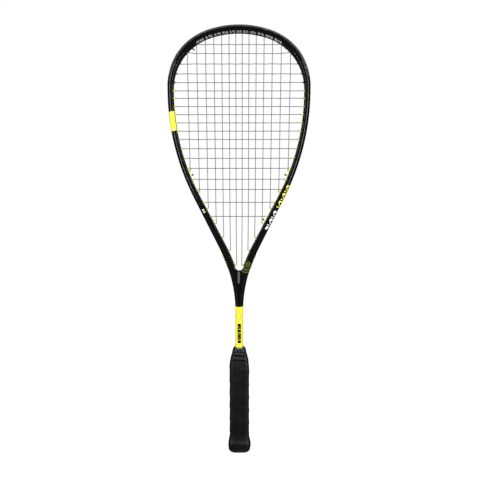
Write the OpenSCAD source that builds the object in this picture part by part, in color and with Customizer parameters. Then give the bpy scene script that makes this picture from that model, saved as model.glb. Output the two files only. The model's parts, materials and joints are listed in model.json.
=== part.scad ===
// Squash racket: a one-piece teardrop frame, strung, with a wound grip.
// The string plane is y = 0, the butt end is z = 0 and the crown is the highest point.

/* [Head] */
// Overall length, from the end of the butt to the top of the crown
overall_l = 686; // [680:1:690]
// Radius of the frame's centre line over the crown
crown_r = 150; // [145:1:155]
// Angle that the crown turns through on each side of the middle
crown_a = 18.7; // [18:0.1:19.4]
// Radius of the centre line round each shoulder
shoulder_r = 91.6; // [89:0.2:94]
// Angle that a shoulder turns through, down to the widest point
shoulder_a = 70.8; // [70:0.1:72]
// Radius of the centre line along each side
side_r = 375.5; // [370:0.5:380]
// Angle that a side turns through, from the widest point to the straight arm
side_a = 27.8; // [27.5:0.1:28.1]
// Radius of the centre line where an arm turns into the shaft
throat_r = 228; // [220:1:236]

/* [Frame section] */
// Width of the hoop's tube in the string plane
hoop_w = 9.2; // [8.8:0.1:9.6]
// Width of an arm where it nears the throat
arm_w = 11.7; // [11.4:0.1:12]
// Width of the shaft
shaft_w = 12.4; // [12:0.1:12.8]
// Depth of the frame, front to back
beam_d = 20; // [19:0.5:21]
// Rounding of the frame's section
section_r = 4; // [3:0.25:4.2]
// Wall of the hollow frame
wall = 1.2; // [1:0.1:1.4]
// Height above the butt where the hoop's tube starts to widen into the arms
widen_top = 476; // [466:2:486]
// Height above the butt where an arm has its full width
widen_end = 282; // [276:2:288]
// Height above the butt where the shaft has its full width
shaft_top = 215; // [210:1:220]
// Radius of the crotch where the arms meet
crotch_r = 6.9; // [6.3:0.1:7.2]
// Height of the crotch's lowest point
crotch_z = 290; // [288:0.5:292]

/* [Strings] */
// Diameter of the string
string_d = 1.3; // [1.1:0.05:1.3]
// Gap between the two middle main strings
main_gap = 10.1; // [10:0.05:10.15]
// How much each further gap between mains grows
main_spread = 0.43; // [0.41:0.01:0.44]
// How much further apart the mains stand for each mm of height
main_fan = 0.0003; // [0.00025:0.00001:0.00032]
// Main strings on each side of the middle
mains_a_side = 7; // [7]
// Height of the highest cross string
cross_top = 654.5; // [654.25:0.25:654.75]
// How far a grommet barrel stands out inside the hoop
barrel_out = 2.5; // [2:0.1:2.8]
// Outer diameter of a grommet barrel
barrel_d = 3; // [2.8:0.1:3.2]
// Bore of a grommet barrel
barrel_bore = 1.9; // [1.8:0.1:2]

/* [Groove, strips and bumper] */
// Width of the string groove round the outside of the frame
groove_w = 5.2; // [5:0.1:5.6]
// Depth of the string groove
groove_d = 2.2; // [2.1:0.05:2.4]
// Thickness of the grommet strips in the groove
strip_t = 0.9; // [0.8:0.05:1]
// How far the bumper guard stands out from the frame
bumper_t = 2.3; // [2:0.1:2.5]
// Thickness of the skirts that the bumper guard lays over the front and back of the crown
skirt_t = 0.7; // [0.6:0.05:0.8]
// Distance along the frame from the crown to each end of the bumper guard
bumper_reach = 160; // [158:1:162]
// Distance along the frame from the crown to the step where the skirts end
skirt_reach = 147; // [144:1:149]

/* [Handle] */
// Length of the butt cap
cap_l = 22; // [20:1:24]
// Height of the exposed, rounded end of the butt cap
cap_rim = 4.5; // [4:0.25:5]
// Thickness of the wound grip strip
tape_t = 1.5; // [1.4:0.1:1.6]
// Height where the handle pallets end
pallet_top = 157; // [155:1:159]
// Height of the top edge of the finishing tape
finish_top = 167.5; // [166:0.5:169]

/* [Decals] */
// Thickness of the printed decals
decal_t = 0.2; // [0.18:0.01:0.25]
// Height of the upper end of the yellow hoop band
band_top = 545; // [543:1:550]
// Height of the lower end of the yellow hoop band
band_end = 514; // [510:1:520]
// Height of the upper end of the yellow shaft sleeve
sleeve_top = 234; // [230:1:236]

/* [Hidden] */

deg = 180 / PI;
gap = 0.05;             // clearance between pieces that lie on each other
hair = 0.01;            // smallest offset that keeps two faces apart
half_d = beam_d / 2;
string_r = string_d / 2;

// Gaps between the cross strings, from the highest one down: close over the sweet spot, wide at both ends
cross_gaps = [14.5, 16.8, 16, 14, 13.4, 12, 13.3, 13, 13.3, 13.4, 13.3, 14.9, 15.6, 16.2, 17.6, 16.4, 20.8, 22.7];

// ---- Centre line of the frame, as poses [x, z, heading], with the heading in degrees below level ----

function turn(p, r, t) =
    [p[0] + r * (sin(p[2] + t) - sin(p[2])), p[1] + r * (cos(p[2] + t) - cos(p[2])), p[2] + t];
function ahead(p, l) = [p[0] + l * cos(p[2]), p[1] - l * sin(p[2]), p[2]];

crown_pose = [0, overall_l - bumper_t - hoop_w / 2, 0];
shoulder_pose = turn(crown_pose, crown_r, crown_a);
side_pose = turn(shoulder_pose, shoulder_r, shoulder_a);
arm_pose = turn(side_pose, side_r, side_a);
// Lean of the straight arm from upright
lean = crown_a + shoulder_a + side_a - 90;
// The straight arm is as long as it takes for the throat's curve to end in the middle of the shaft
arm_l = (arm_pose[0] - throat_r * (1 - cos(lean))) / sin(lean);
throat_pose = ahead(arm_pose, arm_l);
shaft_pose = turn(throat_pose, -throat_r, -lean);
shaft_end = 6;

s_shoulder = crown_r * crown_a / deg;
s_side = s_shoulder + shoulder_r * shoulder_a / deg;
s_arm = s_side + side_r * side_a / deg;
s_throat = s_arm + arm_l;
s_shaft = s_throat + throat_r * lean / deg;
s_end = s_shaft + shaft_pose[1] - shaft_end;

// Pose at a distance s along the right half of the centre line
function at(s) =
    s < s_shoulder ? turn(crown_pose, crown_r, s / crown_r * deg)
    : s < s_side ? turn(shoulder_pose, shoulder_r, (s - s_shoulder) / shoulder_r * deg)
    : s < s_arm ? turn(side_pose, side_r, (s - s_side) / side_r * deg)
    : s < s_throat ? ahead(arm_pose, s - s_arm)
    : s < s_shaft ? turn(throat_pose, -throat_r, -(s - s_throat) / throat_r * deg)
    : ahead(shaft_pose, s - s_shaft);

// Smooth step from 0 to 1 as t goes from 0 to 1
function ease(t) = let (c = min(1, max(0, t))) c * c * (3 - 2 * c);

// Half width of the tube in the string plane at distance s
function half_w(s) =
    let (z = at(s)[1])
    (hoop_w
        + (arm_w - hoop_w) * ease((widen_top - z) / (widen_top - widen_end))
        + (shaft_w - arm_w) * ease((widen_end - z) / (widen_end - shaft_top))) / 2;

// Depth of the string groove at distance s: it is shallower by the throat and runs out below it
shallow_d = 1.3;
s_shallow = s_throat - 6;
s_groove_out = s_throat + 52;
function groove(s) = max(hair,
    (groove_d - (groove_d - shallow_d) * ease((s - s_shallow) / 16)) * ease((s_groove_out - s) / 8));

// Point at distance s, u outward from the centre line and v towards the back; s is negative on the left half
function place(s, u, v) =
    let (p = at(abs(s)), side = s < 0 ? -1 : 1) [side * (p[0] + u * sin(p[2])), v, p[1] + u * cos(p[2])];

// Stations along a half of the frame, closer where it bends more
function stations(a, b, step) = let (n = max(1, ceil((b - a) / step))) [for (i = [0:n]) a + (b - a) * i / n];
function upto(list) = [for (i = [0:len(list) - 2]) list[i]];
frame_s = concat(
    upto(stations(-0.1, s_shoulder, 13)),
    upto(stations(s_shoulder, s_side, 10.5)),
    upto(stations(s_side, s_arm, 24)),
    upto(stations(s_arm, s_throat, 26)),
    upto(stations(s_throat, s_shaft, 13)),
    [s_shaft, s_end]);

// ---- Sections and skins ----

// Rounded rectangle, given as the points of its four corners, counter-clockwise from its right side
function rounded(hx, hy, r, n) = [
    for (c = [[1, 1, 0], [-1, 1, 90], [-1, -1, 180], [1, -1, 270]]) for (i = [0:n])
        [c[0] * (hx - r) + r * cos(c[2] + 90 * i / n), c[1] * (hy - r) + r * sin(c[2] + 90 * i / n)]];

// Frame section [u, v]: a rounded bar with the string groove in its outer face
function frame_section(s) =
    let (w = half_w(s), g = groove_w / 2, d = groove(s), r = min(section_r, w - 0.4))
    concat(
        [[w - d, -g + 0.4], [w - d, g - 0.4], [w, g]],
        rounded(w, half_d, r, 3),
        [[w, -g]]);

// Skin over a list of rings that all have the same number of points
module skin(rings) {
    n = len(rings[0]);
    last = (len(rings) - 1) * n;
    polyhedron(
        points = [for (ring = rings) each ring],
        faces = concat(
            [[for (i = [0:n - 1]) n - 1 - i]],
            [[for (i = [0:n - 1]) last + i]],
            [for (k = [0:len(rings) - 2]) for (i = [0:n - 1]) let (a = k * n + i, b = k * n + (i + 1) % n)
                each [[a, b, b + n], [a, b + n, a + n]]]),
        convexity = 10);
}

// Skin along the frame from a list of stations, with no point beyond the plane x = stop
function swept(list, sections, stop = -1000) = [
    for (i = [0:len(list) - 1])
        [for (q = sections[i]) let (p = place(list[i], q[0], q[1])) [max(p[0], stop), p[1], p[2]]]];

// ---- String pattern ----

main_x = [for (i = [0:mains_a_side - 1]) main_gap * (i + 0.5) + main_spread * i * i];
function sum_to(list, n) = n <= 0 ? 0 : list[n - 1] + sum_to(list, n - 1);
cross_z = [for (j = [0:len(cross_gaps)]) cross_top - sum_to(cross_gaps, j)];

// Tip of a barrel inside the hoop, at distance s
function tip(s) = place(s, -half_w(s) - barrel_out, 0);

// Where a main that stands at x at the sweet spot is at height z: the mains fan out upward
sweet_z = 540;
function fanned(x, z) = x * (1 + main_fan * (z - sweet_z));

// Distance s between lo and hi where a main's end meets the barrels' tips; dir is 1 if x grows with s there
function seek_main(x, dir, lo, hi, n = 22) =
    let (mid = (lo + hi) / 2, p = tip(mid))
    n == 0 ? mid
    : dir * (p[0] - fanned(x, p[2])) < 0 ? seek_main(x, dir, mid, hi, n - 1)
    : seek_main(x, dir, lo, mid, n - 1);

// Distance s between lo and hi where a cross at height z meets the barrels' tips
function seek_cross(z, lo, hi, n = 22) =
    let (mid = (lo + hi) / 2)
    n == 0 ? mid
    : tip(mid)[2] > z ? seek_cross(z, mid, hi, n - 1)
    : seek_cross(z, lo, mid, n - 1);

main_top_s = [for (x = main_x) seek_main(x, 1, 0, s_side)];
main_low_s = [for (x = main_x) seek_main(x, -1, s_side, s_throat + 60)];
// The two highest crosses end beside the tops of the outer mains, and their holes keep a web between them
hole_web = 4.4;
cross_s = [for (j = [0:len(cross_z) - 1])
    let (s = seek_cross(cross_z[j], 0, s_throat))
    j < 2 ? min(s, main_top_s[j + 5] - hole_web) : s];

// Tie-off holes, where a string's end comes back in and is knotted
main_tie_s = (main_low_s[6] + cross_s[15]) / 2;
cross_tie_s = [main_top_s[5] + 8, (cross_s[18] + main_low_s[3]) / 2];
bumper_s = concat(main_top_s, [for (s = cross_s) if (s < bumper_reach) s], [cross_tie_s[0]]);
strip_s = concat([for (s = cross_s) if (s > bumper_reach) s], main_low_s, [main_tie_s, cross_tie_s[1]]);
strip_end_s = main_low_s[0] + 7;

// ---- Frame ----

module frame_half() {
    skin(swept(frame_s, [for (s = frame_s) frame_section(s)], -gap));
}

// Hollow of one half, with a wall down the middle of the shaft
module hollow_half() {
    list = concat([-1], [for (i = [1:len(frame_s) - 2]) frame_s[i]], [s_end + 1]);
    skin(swept(list, [for (s = list) hollow_section(s)], wall / 2));
}

function hollow_section(s) =
    let (w = half_w(s), inner = -w + wall, outer = w - wall - groove(s))
    [for (p = rounded((outer - inner) / 2, half_d - wall, 1.6, 2)) [p[0] + (outer + inner) / 2, p[1]]];

// The web that fills the crotch between the arms, hollowed to a round U above
module crotch_web() {
    web_d = beam_d - 5;
    web_low = crotch_z - 42;
    web_high = crotch_z + crotch_r;
    difference() {
        rotate([90, 0, 0])
            translate([0, 0, -web_d / 2])
                linear_extrude(web_d)
                    polygon([[-2, web_low], [2, web_low], [crotch_r + 4, web_high], [-crotch_r - 4, web_high]]);
        translate([0, 0, crotch_z + crotch_r])
            rotate([90, 0, 0])
                cylinder(r = crotch_r, h = beam_d, center = true, $fn = 32);
    }
}

// A round hole through the tube at distance s, along the frame's normal
module hole(s, d) {
    p = at(s);
    translate([p[0], 0, p[1]])
        rotate([0, p[2], 0])
            cylinder(d = d, h = 3 * half_w(s) + 4, center = true, $fn = 6);
}

module frame_tube() {
    hole_d = barrel_d + 0.6;
    color([0.05, 0.05, 0.06])
        resize([0, beam_d, 0])
            difference() {
                union() {
                    for (side = [0, 1]) mirror([side, 0, 0]) frame_half();
                    crotch_web();
                }
                for (side = [0, 1]) mirror([side, 0, 0]) {
                    hollow_half();
                    for (s = concat(bumper_s, strip_s)) hole(s, hole_d);
                }
            }
}

// ---- Grommet barrels, strips and bumper guard ----

// One barrel: a tube from the strip to its tip inside the hoop
module barrel(s) {
    p = at(s);
    low = -half_w(s) - barrel_out;
    high = half_w(s) - groove(s) + gap + strip_t / 2;
    translate([p[0], 0, p[1]])
        rotate([0, p[2], 0])
            translate([0, 0, low])
                cylinder(d = barrel_d, h = high - low, $fn = 24);
}

module bore(s) {
    p = at(s);
    translate([p[0], 0, p[1]])
        rotate([0, p[2], 0])
            cylinder(d = barrel_bore, h = 4 * half_w(s) + 10, center = true, $fn = 24);
}

// Channel strip in the groove: the string lies between its two low walls
strip_wall = 0.5;
function strip_section(s) =
    let (low = half_w(s) - groove(s) + gap, g = groove_w / 2 - 0.5, top = low + strip_t + string_d)
    [[low, -g], [top, -g], [top, -g + strip_wall], [low + strip_t, -g + strip_wall],
        [low + strip_t, g - strip_wall], [top, g - strip_wall], [top, g], [low, g]];

// Middle of a string that lies in the channel, outward from the frame's centre line
function lay(s) = half_w(s) - groove(s) + gap + strip_t + string_r + hair;

module grommet_strip() {
    list = concat(
        upto(stations(bumper_reach + 1, s_arm, 20)),
        upto(stations(s_arm, s_shallow, 27)),
        stations(s_shallow, strip_end_s, 8));
    difference() {
        union() {
            skin(swept(list, [for (s = list) strip_section(s)]));
            for (s = strip_s) barrel(s);
        }
        for (s = strip_s) bore(s);
    }
}

module right_grommet_strip() {
    color([0.95, 0.93, 0.1]) grommet_strip();
}

module left_grommet_strip() {
    color([0.95, 0.93, 0.1]) mirror([1, 0, 0]) grommet_strip();
}

// Bumper section: the channel strip in the groove, crowned ridges on both sides of it, and a skirt that
// follows the frame's rounded corners over the front and the back
skirt_turn = 78;
function skirt_angle(s) = 2 + (skirt_turn - 2) * ease((skirt_reach + 2 - s) / 4);
function ridge(s) = 0.5 + (bumper_t - 0.5) * ease((bumper_reach - 5 - s) / 58);
// Point at an angle round the frame's corner, raised above the frame
function on_corner(s, a, rise) =
    let (r = min(section_r, half_w(s) - 0.4))
    [half_w(s) - r + (r + rise) * cos(a), half_d - r + (r + rise) * sin(a)];
function bumper_half(s) =
    let (
        w = half_w(s),
        g = groove_w / 2 - 0.5,
        low = w - groove_d + gap,
        turns = skirt_angle(s),
        side = ridge(s) * 0.74,
        skirt = min(skirt_t, side))
    concat(
        [[low + strip_t, g - strip_wall], [w + ridge(s) - 0.2, g], [w + ridge(s), g + 1.4]],
        [for (i = [0:3]) on_corner(s, turns * i / 3, side + (skirt - side) * i / 3)],
        [for (i = [3:-1:0]) on_corner(s, turns * i / 3, gap)],
        [[w + gap, g], [low, g]]);
function bumper_section(s) =
    let (half = bumper_half(s))
    concat(half, back([for (p = half) [p[0], -p[1]]]));

module bumper_guard() {
    half = concat(
        [0],
        [for (s = stations(0, s_shoulder, 13)) if (s > 0 && s < s_shoulder) s],
        [for (s = stations(s_shoulder, s_side, 10.5)) if (s < skirt_reach - 3) s],
        [skirt_reach - 2, skirt_reach, skirt_reach + 2, bumper_reach]);
    list = concat([for (i = [len(half) - 1:-1:1]) -half[i]], half);
    color([0.25, 0.25, 0.26])
        difference() {
            union() {
                skin(swept(list, [for (s = list) bumper_section(abs(s))]));
                for (side = [0, 1]) mirror([side, 0, 0]) for (s = bumper_s) barrel(s);
            }
            for (side = [0, 1]) mirror([side, 0, 0]) for (s = bumper_s) bore(s);
        }
}

// ---- Strings ----

function unit(v) = v / norm(v);

// Skin along a route of points that stays close to the string plane
module cord(route) {
    m = len(route) - 1;
    skin([for (i = [0:m])
        let (
            along = unit(route[min(i + 1, m)] - route[max(i - 1, 0)]),
            side = unit(cross(along, [0, 1, 0])),
            up = cross(side, along))
        [for (k = [0:5]) route[i] + string_r * (cos(60 * k) * side + sin(60 * k) * up)]]);
}

// Places from a barrel's mouth inside the hoop out to the groove
function through(s) = [
    place(s, -half_w(s) - barrel_out - 0.4, 0),
    place(s, lay(s) - 1.2, 0)];
// Places along the groove between two holes on the right half
function groove_run(a, b) =
    let (n = max(1, ceil(abs(b - a) / 9)), e = sign(b - a) * 1.2)
    [for (i = [0:n]) let (s = a + e + (b - a - 2 * e) * i / n) place(s, lay(s), 0)];

function flip(list) = [for (p = list) [-p[0], p[1], p[2]]];
function back(list) = [for (i = [len(list) - 1:-1:0]) list[i]];

// Which face a main passes a cross on: it changes at every crossing
weave = string_r + hair;
function over(i, j) = (i + j) % 2 == 0 ? 1 : -1;

// One main from its high tip to its low tip, on the right half, with the count i from the middle
function main_span(i, flipped) =
    let (high = tip(main_top_s[i])[2], low = tip(main_low_s[i])[2])
    [for (j = [0:len(cross_z) - 1]) if (cross_z[j] < high - 3 && cross_z[j] > low + 3)
        [fanned(main_x[i], cross_z[j]), weave * over(i + (flipped ? 1 : 0), j), cross_z[j]]];

// A main with the holes at both its ends, from the groove at the top to the groove at the bottom
function main_run(i, flipped) = concat(
    back(through(main_top_s[i])), main_span(i, flipped), through(main_low_s[i]));

// Lacing of the mains of one half, from the middle one out: down, round, up, round
function lace_mains(i, flipped) =
    i >= mains_a_side ? []
    : concat(
        i % 2 == 0 ? main_run(i, flipped) : back(main_run(i, flipped)),
        i == mains_a_side - 1 ? groove_run(main_low_s[i], main_tie_s)
        : i % 2 == 0 ? groove_run(main_low_s[i], main_low_s[i + 1])
        : groove_run(main_top_s[i], main_top_s[i + 1]),
        lace_mains(i + 1, flipped));

function main_half(flipped) = concat(lace_mains(0, flipped), back(through(main_tie_s)));

// The two halves meet in the loop over the crown between the middle mains
crown_loop = [for (s = [-main_top_s[0] + 1.2, 0, main_top_s[0] - 1.2]) place(s, lay(0), 0)];

module main_string() {
    color([0.3, 0.3, 0.32]) cord(concat(flip(back(main_half(true))), crown_loop, main_half(false)));
}

// Mains that a cross meets, from left to right, with the face it passes them on
function cross_span(j) =
    let (reach = tip(cross_s[j])[0])
    [for (k = [-mains_a_side:mains_a_side - 1])
        let (i = k < 0 ? -k - 1 : k, flipped = k < 0, high = tip(main_top_s[i])[2], low = tip(main_low_s[i])[2])
        if (main_x[i] < reach - 3 && cross_z[j] < high - 3 && cross_z[j] > low + 3)
            [(flipped ? -1 : 1) * fanned(main_x[i], cross_z[j]), -weave * over(i + (flipped ? 1 : 0), j), cross_z[j]]];

function cross_run(j) = concat(
    flip(back(through(cross_s[j]))), cross_span(j), through(cross_s[j]));

// Lacing of the crosses from the top down, with the first end tied off on the left
function lace_crosses(j) =
    j >= len(cross_z) ? []
    : concat(
        j % 2 == 0 ? cross_run(j) : back(cross_run(j)),
        j == len(cross_z) - 1 ? groove_run(cross_s[j], cross_tie_s[1])
        : j % 2 == 0 ? groove_run(cross_s[j], cross_s[j + 1])
        : flip(groove_run(cross_s[j], cross_s[j + 1])),
        lace_crosses(j + 1));

module cross_string() {
    color([0.3, 0.3, 0.32])
        cord(concat(
            flip(through(cross_tie_s[0])),
            flip(groove_run(cross_tie_s[0], cross_s[0])),
            lace_crosses(0),
            back(through(cross_tie_s[1]))));
}

// A tight hitch: two turns of string and a ball, on the tip of a tie-off barrel
module knot(s) {
    p = place(s, -half_w(s) - barrel_out - 0.5, 0);
    turn_r = 2 * string_r + 0.15;
    translate(p)
        rotate([0, at(s)[2] + 180, 0])
            for (k = [0, 1])
                translate([0, 0, string_r + k * 1.1])
                    rotate_extrude($fn = 24) translate([turn_r, 0]) circle(d = 1.2, $fn = 14);
}

module main_string_knots() {
    color([0.35, 0.35, 0.37]) {
        knot(main_tie_s);
        mirror([1, 0, 0]) knot(main_tie_s);
    }
}

module cross_string_knots() {
    color([0.35, 0.35, 0.37]) {
        mirror([1, 0, 0]) knot(cross_tie_s[0]);
        knot(cross_tie_s[1]);
    }
}

// ---- Decals ----

// Distance s on the hoop's side where the centre line is at height z
function height_s(z, lo = 0, hi = 1000, n = 24) =
    let (mid = (lo + hi) / 2)
    n == 0 ? mid : at(mid)[1] > z ? height_s(z, mid, hi, n - 1) : height_s(z, lo, mid, n - 1);

// C-shaped section that wraps the tube and leaves its groove open
function wrap_section(s) =
    let (
        w = half_w(s),
        r = min(section_r, w - 0.4),
        out = rounded(w + gap + decal_t, half_d + gap + decal_t, r + gap + decal_t, 5),
        in = back(rounded(w + gap, half_d + gap, r + gap, 5)))
    concat(out, in);

// Skinned round the tube from lip to lip, each ring a lengthwise slice through the band's thickness
module hoop_band() {
    list = stations(-height_s(band_end), -height_s(band_top), 11);
    across = swept(list, [for (s = list) wrap_section(abs(s))]);
    ends = len(across[0]) - 1;
    color([0.97, 0.95, 0.2])
        skin([for (j = [0:(ends - 1) / 2])
            concat([for (c = across) c[ends - j]], back([for (c = across) c[j]]))]);
}

module shaft_sleeve() {
    r = section_r + gap + 0.1;
    out = rounded(shaft_w / 2 + 0.5, half_d + gap + decal_t + 0.1, r, 4);
    in = rounded(shaft_w / 2 + gap + 0.25, half_d + gap, r, 4);
    color([0.97, 0.95, 0.2])
        translate([0, 0, finish_top - 4])
            linear_extrude(sleeve_top - finish_top + 4)
                difference() {
                    polygon(out);
                    polygon(in);
                }
}

// ---- Handle ----

// Outside of the wound grip: height, half width and half depth
grip_form = [[cap_rim, 16.9, 15.1], [8, 17.85, 16], [12.5, 18.25, 16.4], [15.5, 17.8, 16], [18, 16.95, 15.2],
    [cap_l, 16.3, 14.5], [28, 15.7, 13.9], [36, 15.6, 13.8], [112, 15.6, 13.8], [126, 15.85, 14], [138, 15.75, 13.9],
    [146, 14.8, 13.4], [152, 13.3, 12.9], [160, 10.9, 12.2], [164, 9.5, 11.95]];
// The same form carried on a little below its lower end, and at the top of the pallets
grip_foot = [cap_rim - 1, 16.63, 14.84];
grip_neck = [pallet_top, 11.75, 12.4];

// Skin over a list of [height, half width, half depth], made smaller by inset
module stack(form, inset = 0) {
    skin([for (f = form)
        [for (p = back(rounded(f[1] - inset, f[2] - inset, 0.42 * (f[1] - inset), 4))) [p[0], p[1], f[0]]]]);
}

function above(form, z) = [for (f = form) if (f[0] >= z) f];
function below(form, z) = [for (f = form) if (f[0] <= z) f];

module shaft_room(high) {
    room_x = shaft_w / 2 + 0.15;
    room_y = half_d + 0.15;
    translate([-room_x, -room_y, shaft_end - 0.2]) cube([2 * room_x, 2 * room_y, high]);
}

// Both pallets as one, before they are split along the string plane
module pallets() {
    under = tape_t + gap;
    difference() {
        union() {
            stack(concat([[cap_l + 0.1, 16.28, 14.48]], [for (f = above(grip_form, cap_l + 1)) if (f[0] < pallet_top) f],
                [grip_neck]), under);
            translate([0, 0, cap_rim + 0.1])
                linear_extrude(cap_l - cap_rim) polygon(rounded(12.6, 11.3, 4, 4));
        }
        shaft_room(overall_l);
        staple_room(cap_staple_z);
        mirror([0, 1, 0]) staple_room(cap_staple_z);
        staple_room(grip_staple_z);
    }
}

module front_pallet() {
    color([0.75, 0.72, 0.6])
        intersection() {
            pallets();
            translate([-50, -50 - hair, 0]) cube([100, 50, 200]);
        }
}

module back_pallet() {
    color([0.7, 0.67, 0.55])
        intersection() {
            pallets();
            translate([-50, hair, 0]) cube([100, 50, 200]);
        }
}

// Moulded cup over the end of the pallets, with a rim that the grip strip butts against
badge_d = 16;
badge_t = 0.8;
module butt_cap() {
    rim = [[0, 11, 12], [0.5, 12.8, 13], [1.4, 14.2, 13.7], [2.8, 15.7, 14.4], [cap_rim - gap, 16.8, 15]];
    sleeve = [grip_foot, for (f = grip_form) if (f[0] > cap_rim && f[0] <= cap_l) f];
    color([0.08, 0.08, 0.09])
        difference() {
            union() {
                stack(rim);
                stack(sleeve, tape_t + gap);
            }
            translate([0, 0, cap_rim])
                linear_extrude(cap_l) polygon(rounded(12.7, 11.4, 4, 4));
            translate([0, 0, -1]) cylinder(d = badge_d + 0.3, h = badge_t + 1.2, $fn = 48);
            staple_room(cap_staple_z);
            mirror([0, 1, 0]) staple_room(cap_staple_z);
        }
}

module butt_badge() {
    color([0.9, 0.88, 0.15])
        translate([0, 0, 0.15]) cylinder(d = badge_d, h = badge_t, $fn = 48);
}

// ---- Staples ----

cap_staple_z = 19.5;
grip_staple_z = 30;
staple_w = 9;
staple_leg = 4.4;
wire = 0.8;

// Half depth of the surface that a staple lies in
function staple_y(z) = (z < cap_l ? 14.85 : 13.85) - tape_t - gap;

// A U of flat wire: a back across the front face and two legs into the foam
module staple(z, more = 0) {
    y = staple_y(z);
    translate([-staple_w / 2 - more, -y - more, z - wire / 2 - more])
        cube([staple_w + 2 * more, wire + 2 * more, wire + 2 * more]);
    for (x = [-1, 1])
        translate([x * (staple_w - wire) / 2 - wire / 2 - more, -y - more, z - wire / 2 - more])
            cube([wire + 2 * more, staple_leg + 2 * more, wire + 2 * more]);
}

module staple_room(z) {
    staple(z, 0.06);
    translate([-staple_w / 2 - 0.1, -staple_y(z) - 3, z - wire / 2 - 0.1])
        cube([staple_w + 0.2, 3.2, wire + 0.2]);
}

module butt_cap_staples() {
    color([0.75, 0.76, 0.78]) {
        staple(cap_staple_z);
        mirror([0, 1, 0]) staple(cap_staple_z);
    }
}

module grip_staple() {
    color([0.75, 0.76, 0.78]) staple(grip_staple_z);
}

// ---- Grip ----

module grip_tape() {
    inside = [grip_foot, each below(above(grip_form, cap_rim + 1), pallet_top), grip_neck + [0.1, 0, 0],
        [pallet_top + 0.2, 8, 11.65], [170, 8, 11.65]];
    color([0.07, 0.07, 0.07])
        difference() {
            stack(grip_form);
            stack(inside, tape_t);
        }
}

// Electrical-type tape that closes the top of the grip on the shaft
module finishing_tape() {
    out = [[160.2, 11.35, 12.55], [164.3, 9.95, 12.25], [165.9, 8.6, 11.7], [finish_top, 7.7, 11.2]];
    in = [[159, 11.25, 12.3], [160, 10.95, 12.25], [164.1, 9.55, 12], [164.2, 6.8, 10.3], [169, 6.8, 10.3]];
    color([0.1, 0.1, 0.12])
        difference() {
            stack(out);
            stack(in);
        }
}

frame_tube();
bumper_guard();
left_grommet_strip();
right_grommet_strip();
main_string();
cross_string();
main_string_knots();
cross_string_knots();
hoop_band();
shaft_sleeve();
front_pallet();
back_pallet();
butt_cap();
butt_cap_staples();
butt_badge();
grip_staple();
grip_tape();
finishing_tape();
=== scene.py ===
"""Squash racket: the visual model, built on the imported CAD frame. Lengths are in metres."""
import json
from math import atan2, cos, pi, radians, sin, sqrt

import bmesh
import bpy
import numpy as np
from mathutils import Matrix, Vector

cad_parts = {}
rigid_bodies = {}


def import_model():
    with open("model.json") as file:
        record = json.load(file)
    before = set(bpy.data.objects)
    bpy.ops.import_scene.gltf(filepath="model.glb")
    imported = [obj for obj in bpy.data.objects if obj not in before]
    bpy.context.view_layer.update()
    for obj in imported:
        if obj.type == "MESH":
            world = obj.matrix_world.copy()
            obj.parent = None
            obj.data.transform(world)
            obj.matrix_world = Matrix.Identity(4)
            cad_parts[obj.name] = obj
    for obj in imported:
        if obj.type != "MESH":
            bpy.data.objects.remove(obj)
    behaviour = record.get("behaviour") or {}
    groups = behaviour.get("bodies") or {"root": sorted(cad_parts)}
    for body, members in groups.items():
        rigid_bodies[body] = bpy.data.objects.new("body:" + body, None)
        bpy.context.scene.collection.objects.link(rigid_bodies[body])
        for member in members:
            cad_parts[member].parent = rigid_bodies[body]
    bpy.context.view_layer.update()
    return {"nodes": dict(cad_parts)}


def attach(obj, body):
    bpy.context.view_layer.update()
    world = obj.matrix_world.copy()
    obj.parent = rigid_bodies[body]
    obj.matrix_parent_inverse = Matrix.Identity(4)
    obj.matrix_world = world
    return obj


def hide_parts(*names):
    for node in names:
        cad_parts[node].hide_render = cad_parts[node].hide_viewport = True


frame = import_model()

mm = 0.001

# ---- driving dimensions, as in the CAD

OVERALL = 686 * mm
HOOP_W, ARM_W, SHAFT_W = 9.2 * mm, 11.7 * mm, 12.4 * mm
HALF_D = 10 * mm
BUMPER_T, SKIRT_T = 2.3 * mm, 0.7 * mm
CROWN_R, SHOULDER_R, SIDE_R, THROAT_R = 150 * mm, 91.6 * mm, 375.5 * mm, 228 * mm
CROWN_A, SHOULDER_A, SIDE_A = radians(18.7), radians(70.8), radians(27.8)
WIDEN_TOP, WIDEN_END, SHAFT_TOP = 476 * mm, 282 * mm, 215 * mm
CROTCH_R, CROTCH_Z = 6.9 * mm, 290 * mm
STRING_R = 0.65 * mm
BARREL_OUT, BARREL_R, BORE_R = 2.5 * mm, 1.5 * mm, 0.95 * mm
GROOVE_W, GROOVE_D, STRIP_T = 5.2 * mm, 2.2 * mm, 0.9 * mm
BUMPER_REACH, SKIRT_REACH = 160 * mm, 147 * mm
BAND_TOP, BAND_END = 545 * mm, 514 * mm
SLEEVE_TOP, FINISH_TOP = 234 * mm, 167.5 * mm
GAP = 0.05 * mm

# ---- centre line of the frame


def turn(p, r, t):
    """Pose after an arc of radius r through angle t. A pose is (x, z, heading below level)."""
    h = p[2]
    return (p[0] + r * (sin(h + t) - sin(h)), p[1] + r * (cos(h + t) - cos(h)), h + t)


def ahead(p, l):
    """Pose after a straight of length l."""
    return (p[0] + l * cos(p[2]), p[1] - l * sin(p[2]), p[2])


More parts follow.
